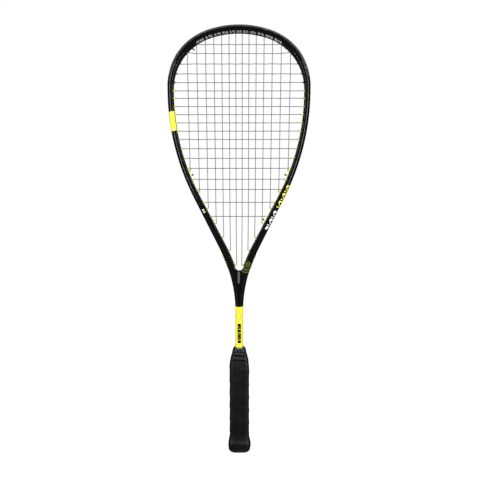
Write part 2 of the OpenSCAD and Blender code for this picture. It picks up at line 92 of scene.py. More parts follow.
crown = (0.0, OVERALL - BUMPER_T - HOOP_W / 2, 0.0)
shoulder = turn(crown, CROWN_R, CROWN_A)
side = turn(shoulder, SHOULDER_R, SHOULDER_A)
arm = turn(side, SIDE_R, SIDE_A)
LEAN = CROWN_A + SHOULDER_A + SIDE_A - pi / 2
ARM_L = (arm[0] - THROAT_R * (1 - cos(LEAN))) / sin(LEAN)
throat = ahead(arm, ARM_L)
shaft = turn(throat, -THROAT_R, -LEAN)
S_SHOULDER = CROWN_R * CROWN_A
S_SIDE = S_SHOULDER + SHOULDER_R * SHOULDER_A
S_ARM = S_SIDE + SIDE_R * SIDE_A
S_THROAT = S_ARM + ARM_L
S_SHAFT = S_THROAT + THROAT_R * LEAN
S_END = S_SHAFT + shaft[1] - 6 * mm


def at(s):
    """Pose at distance s along the right half of the centre line, from the crown down."""
    if s < S_SHOULDER:
        return turn(crown, CROWN_R, s / CROWN_R)
    if s < S_SIDE:
        return turn(shoulder, SHOULDER_R, (s - S_SHOULDER) / SHOULDER_R)
    if s < S_ARM:
        return turn(side, SIDE_R, (s - S_SIDE) / SIDE_R)
    if s < S_THROAT:
        return ahead(arm, s - S_ARM)
    if s < S_SHAFT:
        return turn(throat, -THROAT_R, -(s - S_THROAT) / THROAT_R)
    return ahead(shaft, s - S_SHAFT)


def ease(t):
    """Smooth step from 0 to 1."""
    c = min(1.0, max(0.0, t))
    return c * c * (3 - 2 * c)


def half_w(s):
    """Half the frame's width at s: narrow round the hoop, wider in the arms and the shaft."""
    z = at(s)[1]
    return (
        HOOP_W
        + (ARM_W - HOOP_W) * ease((WIDEN_TOP - z) / (WIDEN_TOP - WIDEN_END))
        + (SHAFT_W - ARM_W) * ease((WIDEN_END - z) / (WIDEN_END - SHAFT_TOP))
    ) / 2


def groove(s):
    """Depth of the string groove, which runs out below the throat."""
    deep = GROOVE_D - 0.9 * mm * ease((s - S_THROAT + 6 * mm) / (16 * mm))
    return max(0.01 * mm, deep * ease((S_THROAT + 52 * mm - s) / (8 * mm)))


def place(s, u, v):
    """Point at distance s (below 0 on the left), u outward from the centre line and v towards the back."""
    p = at(abs(s))
    x = p[0] + u * sin(p[2])
    return (-x if s < 0 else x, v, p[1] + u * cos(p[2]))


def bisect(f, lo, hi, n=40):
    """Where f, which is below 0 at lo and not at hi, changes sign."""
    for _ in range(n):
        mid = (lo + hi) / 2
        if f(mid) < 0:
            lo = mid
        else:
            hi = mid
    return (lo + hi) / 2


# ---- string pattern

main_x = [10.1 * mm * (i + 0.5) + 0.43 * mm * i * i for i in range(7)]
cross_gaps = [14.5, 16.8, 16, 14, 13.4, 12, 13.3, 13, 13.3]
cross_gaps += [13.4, 13.3, 14.9, 15.6, 16.2, 17.6, 16.4, 20.8, 22.7]
cross_z = [654.5 * mm - sum(cross_gaps[:j]) * mm for j in range(19)]


def tip(s):
    """Middle of the mouth of a barrel inside the hoop."""
    return place(s, -half_w(s) - BARREL_OUT, 0)


def fanned(x, z):
    """The mains spread a little towards the crown."""
    return x * (1 + 0.3 * (z - 540 * mm))


main_top_s = [bisect(lambda s: tip(s)[0] - fanned(x, tip(s)[2]), 0, S_SIDE) for x in main_x]
main_low_s = [bisect(lambda s: fanned(x, tip(s)[2]) - tip(s)[0], S_SIDE, S_THROAT + 60 * mm) for x in main_x]
cross_s = [bisect(lambda s: z - tip(s)[2], 0, S_THROAT) for z in cross_z]
for j in (0, 1):
    cross_s[j] = min(cross_s[j], main_top_s[j + 5] - 4.4 * mm)
main_tie_s = (main_low_s[6] + cross_s[15]) / 2
cross_tie_s = (main_top_s[5] + 8 * mm, (cross_s[18] + main_low_s[3]) / 2)
bumper_s = main_top_s + [s for s in cross_s if s < BUMPER_REACH] + [cross_tie_s[0]]
strip_s = [s for s in cross_s if s > BUMPER_REACH] + main_low_s + [main_tie_s, cross_tie_s[1]]
STRIP_END = main_low_s[0] + 7 * mm

# ---- surface of the frame

OUTER_R, INNER_R = 6 * mm, 2.2 * mm
U_Z = CROTCH_Z + CROTCH_R  # middle of the U between the arms


def arc_drop(d, r):
    """How far a face has dropped back from its full depth at distance d from an edge rounded by r."""
    return 0.0 if d >= r else r - sqrt(max(0.0, r * r - (r - max(d, 0.0)) ** 2))


def outer_r(s):
    return OUTER_R - 0.5 * mm * ease((s - S_THROAT - 30 * mm) / (60 * mm))


def from_u(s, u):
    """Distance out from the edge of the U."""
    x, _, z = place(s, u, 0)
    return sqrt(x**2 + (z - U_Z) ** 2) - CROTCH_R


# The arm's inner wall runs into the U at s_u, and the ray through the U's lowest point starts at s_b
s_u = bisect(lambda s: -from_u(s, -half_w(s)), S_THROAT - 20 * mm, S_THROAT + 40 * mm)
s_b = bisect(lambda s: CROTCH_Z - (at(s)[1] - at(s)[0] / sin(at(s)[2]) * cos(at(s)[2])), S_THROAT, S_SHAFT)


def inner_end(s):
    """How far in the frame reaches along its normal at s: its inner wall, the U, or the middle plane."""
    if s <= s_u:
        return -half_w(s)
    x, z, h = at(s)
    u0 = -x / sin(h)
    if s >= s_b:
        return u0
    b = sin(h) * x + cos(h) * (z - U_Z)
    c = x**2 + (z - U_Z) ** 2 - CROTCH_R**2
    return max(u0, -b + sqrt(max(0.0, b * b - c)))


def depth(s, u):
    """Half depth of the frame at distance s and u outward."""
    inner = u + half_w(s) if s < s_u else 1.0
    if s > S_THROAT:
        inner = min(inner, from_u(s, u))
    y = HALF_D - max(arc_drop(half_w(s) - u, outer_r(s)), arc_drop(inner, INNER_R))
    # A shallow facet below the U, between the arms
    x, _, z = place(s, u, 0)
    if S_THROAT < s and z < CROTCH_Z:
        low = (CROTCH_Z - 1.6 * mm - z) / (26 * mm)
        wide = (5.0 - 2.8 * min(1, max(0, low))) * mm
        if low > 0 and abs(x) < wide:
            y -= 0.4 * mm * ease(low * 5) * ease((1 - low) * 1.3) * ease((wide - abs(x)) / (2.2 * mm))
    return y


def across(s):
    """Distances outward at which the frame's face is sampled, from its outer edge to its inner end."""
    w, end = half_w(s), inner_end(s)
    l = w - end
    ro, ri = min(outer_r(s), 0.66 * l), min(INNER_R, 0.24 * l)
    out = [ro * (1 - cos(radians(a))) for a in (0, 7, 16, 27, 39, 51, 63, 76, 90)]
    mid = [ro + (l - ri - ro) * i / 4 for i in (1, 2, 3)]
    inn = [l - ri * (1 - cos(radians(a))) for a in (90, 70, 50, 32, 15, 0)]
    return [w - d for d in out + mid + inn]


WALL = (-0.55, 0, 0.55)  # points across the inner wall, as parts of its half depth


def frame_ring(s):
    """Closed section of the right half: groove, front face, inner wall, back face."""
    w, g, gw = half_w(s), groove(s), GROOVE_W / 2
    us = across(s)
    end = us[-1]
    lip = [(w - g, 0.5 * mm - gw), (w - g + min(0.3 * mm, g / 3), 0.15 * mm - gw)]
    lip += [(w - min(0.35 * mm, g / 3), -gw), (w - min(0.1 * mm, g / 4), -gw - 0.12 * mm)]
    front = lip + [(w, -gw - 0.4 * mm)] + [(u, -depth(s, u)) for u in us]
    wall = [(end, depth(s, end) * k) for k in WALL]
    back = [(u, -v) for u, v in reversed(front)]
    return [place(s, u, v) for u, v in [(w - g, 0.0)] + front + wall + back]


def spaced(a, b, step):
    """Even stations from a up to but not including b."""
    n = max(1, round((b - a) / step))
    return [a + (b - a) * i / n for i in range(n)]


# ---- mesh helpers


def link(name, verts, faces, weld=0.0, sharp=None):
    """Mesh object with smooth shading, creased past the angle sharp."""
    me = bpy.data.meshes.new(name)
    me.from_pydata(verts, [], faces)
    bm = bmesh.new()
    bm.from_mesh(me)
    if weld:
        bmesh.ops.remove_doubles(bm, verts=bm.verts, dist=weld)
    bmesh.ops.delete(bm, geom=[v for v in bm.verts if not v.link_faces], context="VERTS")
    bmesh.ops.recalc_face_normals(bm, faces=bm.faces)
    for f in bm.faces:
        f.smooth = True
    bm.to_mesh(me)
    bm.free()
    if sharp:
        me.set_sharp_from_angle(angle=radians(sharp))
    o = bpy.data.objects.new(name, me)
    bpy.context.scene.collection.objects.link(o)
    return o


class Build:
    """Several closed shells gathered into one mesh."""

    def __init__(self):
        self.v, self.f = [], []

    def add(self, verts, faces):
        k = len(self.v)
        self.v += [tuple(p) for p in verts]
        self.f += [tuple(i + k for i in f) for f in faces]

    def rings(self, rings, closed=False):
        """Skin over rings of equal length. closed joins the last ring to the first."""
        n, m = len(rings[0]), len(rings)
        faces = []
        for k in range(m if closed else m - 1):
            a, b = k * n, (k + 1) % m * n
            faces += [(a + i, a + (i + 1) % n, b + (i + 1) % n, b + i) for i in range(n)]
        if not closed:
            faces += [tuple(range(n))[::-1], tuple((m - 1) * n + i for i in range(n))]
        self.add([p for r in rings for p in r], faces)

    def make(self, name, weld=0.0, sharp=None):
        return link(name, self.v, self.f, weld, sharp)


def finish_piece(o, mat, slot, *nodes):
    """Give a piece its material and body, and hide the CAD nodes it replaces. slot is not used."""
    o.data.materials.append(mat)
    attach(o, "root")
    if nodes:
        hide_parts(*nodes)
    return o


# ---- materials


class Nodes:
    """Short calls for building a node material."""

    def __init__(self, name):
        self.mat = bpy.data.materials.new(name)
        self.mat.use_nodes = True
        self.t = self.mat.node_tree
        self.b = self.t.nodes["Principled BSDF"]
        self.co = self.t.nodes.new("ShaderNodeTexCoord").outputs["Object"]

    def put(self, socket, v):
        """Feed a socket from another one, a number or a colour."""
        if isinstance(v, bpy.types.NodeSocket):
            self.t.links.new(v, socket)
        elif v is not None:
            socket.default_value = (*v, 1) if isinstance(v, tuple) else v

    def node(self, kind, **inputs):
        n = self.t.nodes.new("ShaderNode" + kind)
        for k, v in inputs.items():
            self.put(n.inputs[k.replace("_", " ")], v)
        return n

    def stretched(self, x, y, z):
        m = self.node("Mapping", Vector=self.co)
        m.inputs["Scale"].default_value = (x, y, z)
        return m.outputs[0]

    def noise(self, scale, detail=3.0, rough=0.55, at=None):
        n = self.node("TexNoise", Vector=at or self.co, Scale=scale, Detail=detail, Roughness=rough)
        return n.outputs["Fac"]

    def cells(self, scale, feature="F1"):
        n = self.node("TexVoronoi", Vector=self.co, Scale=scale)
        n.feature = feature
        return n.outputs["Distance"]

    def ramp(self, fac, *stops):
        """Grey that follows fac through stops of (position, value)."""
        r = self.node("ValToRGB", Fac=fac)
        for e, (p, c) in zip(r.color_ramp.elements, stops):
            e.position = p
            e.color = (c, c, c, 1)
        return r.outputs["Color"]

    def math(self, op, a, b=None):
        n = self.t.nodes.new("ShaderNodeMath")
        n.operation = op
        self.put(n.inputs[0], a)
        self.put(n.inputs[1], b)
        return n.outputs[0]

    def mix(self, fac, a, b):
        n = self.t.nodes.new("ShaderNodeMix")
        n.data_type = "RGBA"
        for k, v in ((0, fac), (6, a), (7, b)):
            self.put(n.inputs[k], v)
        return n.outputs[2]

    def blend(self, fac, low, high, a, b):
        """Colour a where fac is under low, b where it is over high."""
        return self.mix(self.ramp(fac, (low, 0.0), (high, 1.0)), a, b)

    def bump(self, height, distance, strength, normal=None):
        n = self.node("Bump", Height=height, Strength=strength, Distance=distance, Normal=normal)
        return n.outputs[0]

    def out(self, **kw):
        for k, v in kw.items():
            self.put(self.b.inputs[k.replace("_", " ")], v)
        return self.mat


def lacquer_material():
    """Gloss lacquer over black carbon: faint bands of fibre under it and orange peel on it."""
    n = Nodes("frame_lacquer")
    fibre = n.noise(240, 2, 0.6, n.stretched(9, 1, 1.6))
    return n.out(
        Base_Color=n.blend(fibre, 0.35, 0.7, (0.0022, 0.0022, 0.0028), (0.0046, 0.0045, 0.0054)),
        Roughness=n.ramp(n.noise(26, 4, 0.6), (0.3, 0.09), (0.75, 0.15)),
        Normal=n.bump(n.noise(330, 2, 0.5), 0.00002, 0.35),
        IOR=1.5, Coat_Weight=0.2, Coat_Roughness=0.06, Coat_IOR=1.5,
    )


def moulded_material(name, low, high, rough=(0.42, 0.6), grain=900, wear=None, faces=None):
    """Moulded plastic or rubber: fine spark-eroded grain, uneven gloss and, where asked, pale scuffs.
    faces is a darker colour for the front and back, past about 9 mm from the middle plane; on the bumper it
    leaves the outward face lighter than the skirts, which is painted light: a painted reflection of the
    bright surroundings above."""
    n = Nodes(name)
    patch = n.noise(45, 4, 0.6)
    colour = n.blend(patch, 0.3, 0.72, low, high)
    if faces:
        out_y = n.math("ABSOLUTE", n.node("SeparateXYZ", Vector=n.co).outputs["Y"])
        colour = n.blend(n.math("MULTIPLY", out_y, 100), 0.9, 0.97, colour, faces)
    if wear:
        scuff = n.ramp(n.noise(70, 5, 0.75, n.stretched(1, 2.5, 1)), (0.6, 0.0), (0.7, 1.0))
        colour = n.mix(n.math("MULTIPLY", scuff, 0.5), colour, wear)
    waves = n.bump(n.noise(90, 2, 0.5), 0.00012, 0.12)
    return n.out(
        Base_Color=colour,
        Roughness=n.ramp(patch, (0.25, rough[0]), (0.8, rough[1])),
        Normal=n.bump(n.noise(grain, 3, 0.6), 0.00004, 0.5, waves),
    )


def yellow_material(name, gloss):
    """Bright yellow, either printed under lacquer or moulded."""
    n = Nodes(name)
    patch = n.noise(60, 4, 0.6)
    colour = n.blend(patch, 0.3, 0.7, (0.93, 0.88, 0.035), (0.985, 0.95, 0.06))
    speck = n.ramp(n.cells(700), (0.04, 1.0), (0.1, 0.0))
    grain, rough, coat = (380, (0.2, 0.3), 0.4) if gloss else (800, (0.38, 0.5), 0.0)
    return n.out(
        Base_Color=n.mix(n.math("MULTIPLY", speck, 0.12), colour, (0.75, 0.68, 0.05)),
        Roughness=n.ramp(patch, (0.3, rough[0]), (0.7, rough[1])),
        Normal=n.bump(n.noise(grain, 2, 0.5), 0.00002, 0.3),
        Coat_Weight=coat, Coat_Roughness=0.1,
    )


def print_material(name, colour, other):
    """Ink of one colour, slightly uneven, with a satin surface; the same material also paints the highlight
    on the throat.
    """
    n = Nodes(name)
    return n.out(
        Base_Color=n.blend(n.noise(900, 3, 0.6), 0.35, 0.75, colour, other),
        Roughness=n.ramp(n.noise(200, 3), (0.3, 0.25), (0.7, 0.4)),
        Normal=n.bump(n.noise(600, 2), 0.00001, 0.3),
    )


def string_material():
    """Multifilament string: fine slanted filaments under a smooth, slightly clear skin."""
    n = Nodes("string")
    w = n.node("TexWave", Vector=n.stretched(1, 1.6, 1), Scale=260, Distortion=1.2, Detail=2.0)
    w.bands_direction = "DIAGONAL"
    return n.out(
        Base_Color=n.mix(w.outputs["Fac"], (0.155, 0.145, 0.15), (0.25, 0.235, 0.24)),
        Roughness=0.36,
        Normal=n.bump(w.outputs["Fac"], 0.00003, 0.35),
        Subsurface_Weight=0.08, Subsurface_Scale=0.001,
    )


def grip_material():
    """Polyurethane grip: leather-like grain, tiny pores and a patchy satin gloss."""
    n = Nodes("grip")
    patch = n.noise(38, 4, 0.6)
    lumps = n.bump(n.noise(160, 3), 0.0002, 0.2)
    grain = n.bump(n.cells(1150, "SMOOTH_F1"), 0.00009, 0.5, lumps)
    pores = n.ramp(n.cells(2600), (0.08, 0.0), (0.2, 1.0))
    return n.out(
        Base_Color=n.blend(patch, 0.3, 0.7, (0.0019, 0.0019, 0.0022), (0.0036, 0.0034, 0.0036)),
        Roughness=n.ramp(patch, (0.25, 0.34), (0.8, 0.48)),
        Normal=n.bump(pores, 0.00002, 0.25, grain),
        Specular_IOR_Level=0.4, Sheen_Weight=0.05, Sheen_Roughness=0.4,
    )


def vinyl_material():
    """Stretched vinyl tape: smooth, with faint pull lines round the shaft."""
    n = Nodes("finishing_tape")
    pull = n.noise(190, 3, 0.6, n.stretched(0.25, 0.25, 4))
    return n.out(
        Base_Color=n.blend(pull, 0.3, 0.7, (0.008, 0.009, 0.012), (0.015, 0.016, 0.021)),
        Roughness=n.ramp(n.noise(60), (0.3, 0.28), (0.7, 0.38)),
        Normal=n.bump(pull, 0.0001, 0.3),
    )


def foam_material():
    """Rigid foam with open cells."""
    n = Nodes("pallet_foam")
    cell = n.cells(1500)
    return n.out(
        Base_Color=n.blend(cell, 0.1, 0.5, (0.42, 0.37, 0.25), (0.66, 0.61, 0.47)),
        Roughness=n.ramp(n.noise(70), (0.3, 0.75), (0.7, 0.9)),
        Normal=n.bump(cell, 0.0001, 0.6),
    )


def steel_material():
    """Bright steel wire with drawing marks along it."""
    n = Nodes("staple_steel")
    brushed = n.noise(900, 3, 0.6, n.stretched(0.08, 1, 1))
    return n.out(
        Base_Color=n.blend(brushed, 0.3, 0.7, (0.5, 0.5, 0.52), (0.68, 0.68, 0.7)),
        Metallic=1.0,
        Roughness=n.ramp(brushed, (0.3, 0.22), (0.7, 0.36)),
        Normal=n.bump(brushed, 0.00001, 0.4),
    )


MAT_FRAME = lacquer_material()
PALE_WEAR, DARK_SKIRT = (0.2, 0.19, 0.195), (0.004, 0.004, 0.0048)
# The bumper's grey outward face against its near-black front and back skirts is painted light: the grey is a
# painted reflection of the bright surroundings above
MAT_BUMPER = moulded_material(
    "bumper", (0.062, 0.056, 0.058), (0.088, 0.08, 0.083), wear=PALE_WEAR, faces=DARK_SKIRT
)
MAT_BARREL_DARK = moulded_material("bumper_barrel", (0.016, 0.016, 0.018), (0.024, 0.024, 0.026))
MAT_GROMMET = yellow_material("yellow_grommet", False)
MAT_YELLOW = yellow_material("yellow_decal", True)
MAT_PALE = print_material("pale_line", (0.93, 0.93, 0.5), (0.98, 0.98, 0.6))
MAT_WHITE = print_material("white_ink", (0.93, 0.93, 0.95), (0.98, 0.98, 0.99))
MAT_BLACK = print_material("black_ink", (0.006, 0.006, 0.007), (0.012, 0.012, 0.013))
MAT_OLIVE = print_material("olive_ink", (0.15, 0.155, 0.022), (0.22, 0.225, 0.03))
MAT_KHAKI = print_material("khaki_ink", (0.46, 0.43, 0.045), (0.56, 0.53, 0.06))
# Pale grey-brown of the painted highlight on the throat's facet, standing in for a reflection
MAT_PAINTED_HIGHLIGHT = print_material("painted_highlight", (0.075, 0.068, 0.066), (0.135, 0.125, 0.12))
MAT_STRING = string_material()
MAT_GRIP = grip_material()
MAT_TAPE = vinyl_material()
MAT_CAP = moulded_material("butt_cap", (0.009, 0.01, 0.012), (0.014, 0.015, 0.017), (0.5, 0.64), grain=700)
MAT_FOAM = foam_material()
MAT_STEEL = steel_material()

# ---- frame

# Where each stretch of stations starts, and the millimetres between them
STRETCHES = [(0, 2.5), (S_SHOULDER, 2.3), (S_SIDE, 4), (S_ARM, 4), (s_u - 8 * mm, 0.8), (s_u, 0.45)]
STRETCHES += [(s_b, 0.9), (s_b + 30 * mm, 2.5), (S_SHAFT, 8), (S_END, 0)]
frame_stations = [s for (a, step), (c, _) in zip(STRETCHES, STRETCHES[1:]) for s in spaced(a, c, step * mm)]
frame_stations.append(S_END)


def build_frame():
    """Both halves of the tube, open where they meet below the crotch and welded there."""
    rings = [frame_ring(s) for s in frame_stations]
    n = len(rings[0])
    n_wall = len(WALL)
    first_wall = (n - 1 - n_wall) // 2 + 1  # index of the first point of the inner wall
    b = Build()
    for side_ in (1, -1):
        faces = []
        for k in range(len(rings) - 1):
            merged = frame_stations[k] >= s_b - 1e-9
            for i in range(n):
                if merged and first_wall - 1 <= i < first_wall + n_wall:
                    continue
                a, c = k * n, (k + 1) * n
                faces.append((a + i, a + (i + 1) % n, c + (i + 1) % n, c + i))
        b.add([(side_ * x, y, z) for r in rings for x, y, z in r], faces)
    # The shaft's lower end, closed across both halves
    total = len(rings) * n
    last = (len(rings) - 1) * n
    keep = list(range(first_wall + n_wall, n)) + list(range(first_wall))
    right = [last + i for i in keep]
    left = [total + last + i for i in reversed(keep)]
    b.f.append(tuple(right + left))
    return b.make("frame_tube_visual", weld=0.004 * mm, sharp=50)


finish_piece(build_frame(), MAT_FRAME, "frame_lacquer", "frame_tube")

# ---- barrels, strips and bumper


def barrel_rings(s, top, sides=20):
    """A moulded tube from the strip to its rounded tip inside the hoop, with a bore."""
    low = -half_w(s) - BARREL_OUT
    r, q = BARREL_R, BORE_R
    prof = [(q, top), (r, top), (r, low + 0.9 * mm), (r - 0.06 * mm, low + 0.5 * mm)]
    prof += [(r - 0.22 * mm, low + 0.16 * mm), ((r + q) / 2, low)]
    prof += [(q + 0.05 * mm, low + 0.12 * mm), (q, low + 0.4 * mm)]
    heading = at(abs(s))[2]
    rings = []
    for rad, u in prof:
        ring = []
        for k in range(sides):
            a = 2 * pi * k / sides
            along = rad * cos(a)
            x, y, z = place(abs(s), u, rad * sin(a))
            x, z = x + along * cos(heading), z - along * sin(heading)
            ring.append((-x if s < 0 else x, y, z))
        rings.append(ring)
    return rings


def seat(s):
    """Distance out of the groove's floor, on which a strip lies."""
    return half_w(s) - groove(s) + GAP


def mirrored(half, low):
    """Close a section given for v from 0 up, and its mirror image, with a point on the groove's floor."""
    return half + [(low, 0.0)] + [(u, -v) for u, v in reversed(half[1:])]


def strip_ring(s):
    """Channel with a flange on each side, whose floor dips round each barrel."""
    low = seat(s)
    g = GROOVE_W / 2 - 0.5 * mm
    near = min(abs(s - h) for h in strip_s)
    boss = ease(1 - (near - 1.6 * mm) / (1.6 * mm))
    proud = 0.1 * mm + 0.3 * mm * ease((s - S_THROAT + 34 * mm) / (12 * mm))
    top = min(low + STRIP_T + (1.25 - 0.5 * boss) * mm, half_w(s) + proud)
    floor = low + STRIP_T - 0.15 * mm * boss
    t = 0.5 * mm
    e = 0.1 * mm
    half = [(floor, 0.0), (floor, g - t - e), (floor + e, g - t), (top - e, g - t + 0.04 * mm)]
    half += [(top, g - t + 0.14 * mm), (top, g - 0.12 * mm), (top - e, g), (low + e, g), (low, g - e)]
    return mirrored(half, low)


def grommet_strip(side_):
    b = Build()
    list_s = spaced(BUMPER_REACH + 1 * mm, STRIP_END, 1.3 * mm) + [STRIP_END]
    b.rings([[place(side_ * s, u, v) for u, v in strip_ring(s)] for s in list_s])
    for s in strip_s:
        b.rings(barrel_rings(side_ * s, seat(s) + STRIP_T * 0.6), closed=True)
    return b.make(("right" if side_ > 0 else "left") + "_grommet_strip_visual", sharp=45)


for side_, node in ((1, "right_grommet_strip"), (-1, "left_grommet_strip")):
    finish_piece(grommet_strip(side_), MAT_GROMMET, "yellow_grommet", node)


def ridge(s):
    """How far the bumper's beads stand out, which falls off towards its ends."""
    return 0.5 * mm + (BUMPER_T - 0.5 * mm) * ease((BUMPER_REACH - 5 * mm - s) / (58 * mm))


def skirt_turn(s):
    """How far round the frame's front corner the skirt reaches, in degrees."""
    return 3 + 62 * ease((SKIRT_REACH + 2 * mm - s) / (4 * mm))


def on_corner(s, a, rise):
    """Point over the frame's rounded outer corner, a degrees round it."""
    r = OUTER_R
    return (half_w(s) - r + (r + rise) * cos(radians(a)), HALF_D - r + (r + rise) * sin(radians(a)))


def bumper_ring(s):
    """Channel in the groove, a bead on each side of it, a shallow valley, then the skirt over the corner."""
    s = abs(s)
    w = half_w(s)
    g = GROOVE_W / 2 - 0.5 * mm
    low = w - GROOVE_D + GAP
    rise = ridge(s)
    turns = skirt_turn(s)
    skirt = min(SKIRT_T, rise * 0.74)
    t = 0.5 * mm
    half = [(low + STRIP_T, 0.0), (low + STRIP_T, g - t - 0.1 * mm), (low + STRIP_T + 0.1 * mm, g - t)]
    half += [(w + rise - 0.55 * mm, g - 0.1 * mm), (w + rise - 0.2 * mm, g + 0.02 * mm)]
    half += [(w + rise - 0.04 * mm, g + 0.25 * mm), (w + rise, g + 0.75 * mm)]
    half += [(w + rise - 0.05 * mm, g + 1.3 * mm)]
    # From the bead's flank down to the skirt, which ends in a rounded lip
    flank = ((-3, 0.86), (8, 0.66), (16, 0.4), (24, 0.16), (32, 0.02), (42, 0.0), (54, 0.0))
    half += [on_corner(s, a, skirt + (rise * 0.9 - skirt) * k) for a, k in flank if a <= turns - 5]
    # Every ring has 15 points down to the lip, however short its skirt is
    missing = 15 - len(half)
    last_a = max(-3, turns - 6)
    edge = skirt if turns > 20 else rise * 0.7
    half += [on_corner(s, last_a + (turns - 2 - last_a) * (i + 1) / missing, edge) for i in range(missing)]
    half += [on_corner(s, turns - 0.6, skirt * 0.8), on_corner(s, turns, skirt * 0.45)]
    half += [on_corner(s, turns - 0.4, GAP)] + [on_corner(s, turns * k, GAP) for k in (0.75, 0.5, 0.25, 0)]
    half += [(w + GAP, g + 0.05 * mm), (low + 0.1 * mm, g), (low, g - 0.1 * mm)]
    return mirrored(half, low)


def build_bumper():
    b = Build()
    a, c = SKIRT_REACH - 3 * mm, SKIRT_REACH + 3 * mm
    half = spaced(0, a, 2.3 * mm) + spaced(a, c, 0.4 * mm) + spaced(c, BUMPER_REACH, 1.5 * mm)
    half.append(BUMPER_REACH)
    list_s = [-s for s in reversed(half[1:])] + half
    b.rings([[place(s, u, v) for u, v in bumper_ring(s)] for s in list_s])
    return b.make("bumper_guard_visual", sharp=55)


def build_bumper_barrels():
    b = Build()
    for side_ in (1, -1):
        for s in bumper_s:
            b.rings(barrel_rings(side_ * s, half_w(s) - GROOVE_D + GAP + STRIP_T * 0.6), closed=True)
    return b.make("bumper_barrels_visual", sharp=50)


finish_piece(build_bumper(), MAT_BUMPER, "bumper", "bumper_guard")
finish_piece(build_bumper_barrels(), MAT_BARREL_DARK, "bumper")

# ---- strings

WEAVE = STRING_R + 0.01 * mm  # how far a string swings off the middle plane at each crossing


def lay(s):
    """Distance out at which a string lies in the groove, on the strip's floor."""
    return seat(s) + STRIP_T + STRING_R + 0.01 * mm


def through(s):
    """From a barrel's mouth inside the hoop out to the groove."""
    ways = (-half_w(s) - BARREL_OUT - 0.6 * mm, -half_w(s), lay(s) - 1.3 * mm, lay(s) - 0.5 * mm)
    return [place(s, u, 0) for u in ways]


def groove_run(a, b):
    """Along the groove from the hole at a to the hole at b."""
    n = max(2, int(abs(b - a) / (3 * mm)))
    e = 0.9 * mm if b > a else -0.9 * mm
    return [place(s, lay(s), 0) for s in (a + e + (b - a - 2 * e) * i / n for i in range(n + 1))]


def flip(route):
    """The same route on the other half."""
    return [(-x, y, z) for x, y, z in route]


def over(i, j):
    """Which side of the cross string j the main string i passes."""
    return 1 if (i + j) % 2 == 0 else -1


def woven(ends, knots):
    """Straight in the string plane between two barrel mouths, swinging over and under at the knots."""
    pts = [ends[0]] + knots + [ends[1]]
    out = []
    for p, q in zip(pts, pts[1:]):
        for k in range(1, 6):
            t = k / 6
            f = t * t * (3 - 2 * t)
            out.append((p[0] + (q[0] - p[0]) * t, p[1] + (q[1] - p[1]) * f, p[2] + (q[2] - p[2]) * t))
        out.append(q)
    return out[:-1]


def main_span(i, flipped):
    """The main string's crossings, from the crown down."""
    high, low = tip(main_top_s[i])[2], tip(main_low_s[i])[2]
    return [(fanned(main_x[i], z), WEAVE * over(i + flipped, j), z)
            for j, z in enumerate(cross_z) if low + 3 * mm < z < high - 3 * mm]


def main_run(i, flipped):
    a, b = through(main_top_s[i]), through(main_low_s[i])
    return a[::-1] + woven((a[0], b[0]), main_span(i, flipped)) + b


def main_half(flipped):
    """Half of the main string, from the middle out to its knot. flipped is 1 for the left half."""
    route = []
    for i in range(7):
        run = main_run(i, flipped)
        route += run if i % 2 == 0 else run[::-1]
        if i == 6:
            route += groove_run(main_low_s[i], main_tie_s)
        elif i % 2 == 0:
            route += groove_run(main_low_s[i], main_low_s[i + 1])
        else:
            route += groove_run(main_top_s[i], main_top_s[i + 1])
    return route + through(main_tie_s)[::-1]


def cross_span(j):
    """The cross string's crossings, from left to right."""
    reach = tip(cross_s[j])[0]
    out = []
    for k in range(-7, 7):
        i, flipped = (-k - 1, 1) if k < 0 else (k, 0)
        high, low = tip(main_top_s[i])[2], tip(main_low_s[i])[2]
        if main_x[i] < reach - 3 * mm and low + 3 * mm < cross_z[j] < high - 3 * mm:
            x = fanned(main_x[i], cross_z[j])
            out.append((-x if flipped else x, -WEAVE * over(i + flipped, j), cross_z[j]))
    return out


def cross_run(j):
    a, b = flip(through(cross_s[j])), through(cross_s[j])
    return a[::-1] + woven((a[0], b[0]), cross_span(j)) + b


def cross_route():
    route = flip(through(cross_tie_s[0])) + flip(groove_run(cross_tie_s[0], cross_s[0]))
    for j in range(19):
        run = cross_run(j)
        route += run if j % 2 == 0 else run[::-1]
        if j == 18:
            route += groove_run(cross_s[j], cross_tie_s[1])
        else:
            run = groove_run(cross_s[j], cross_s[j + 1])
            route += run if j % 2 == 0 else flip(run)
    return route + through(cross_tie_s[1])[::-1]


def tube(route, r, sides=10):
    """Tube along a route that never runs straight towards the front or the back."""
    pts = np.array(route)
    keep = np.r_[True, np.linalg.norm(np.diff(pts, axis=0), axis=1) > 0.02 * mm]
    pts = pts[keep]
    t = np.gradient(pts, axis=0)
    t /= np.linalg.norm(t, axis=1)[:, None]
    side_v = np.cross(t, (0, 1.0, 0))
    side_v /= np.linalg.norm(side_v, axis=1)[:, None]
    up = np.cross(side_v, t)
    a = (2 * pi * np.arange(sides) / sides)[None, :, None]
    rings = pts[:, None] + r * (np.cos(a) * side_v[:, None] + np.sin(a) * up[:, None])
    return [[tuple(p) for p in ring] for ring in rings]


def route_length(route):
    return float(np.linalg.norm(np.diff(np.array(route), axis=0), axis=1).sum())


crown_end = main_top_s[0] - 1.2 * mm
crown_loop = [place(s, lay(abs(s)), 0) for s in np.linspace(-crown_end, crown_end, 5)]
main_route = flip(main_half(1))[::-1] + crown_loop + main_half(0)
crosses = cross_route()
for node, route in (("main_string", main_route), ("cross_string", crosses)):
    b = Build()
    b.rings(tube(route, STRING_R))
    finish_piece(b.make(node + "_visual"), MAT_STRING, "string", node)
print("string lengths (m): main %.3f, cross %.3f" % (route_length(main_route), route_length(crosses)))


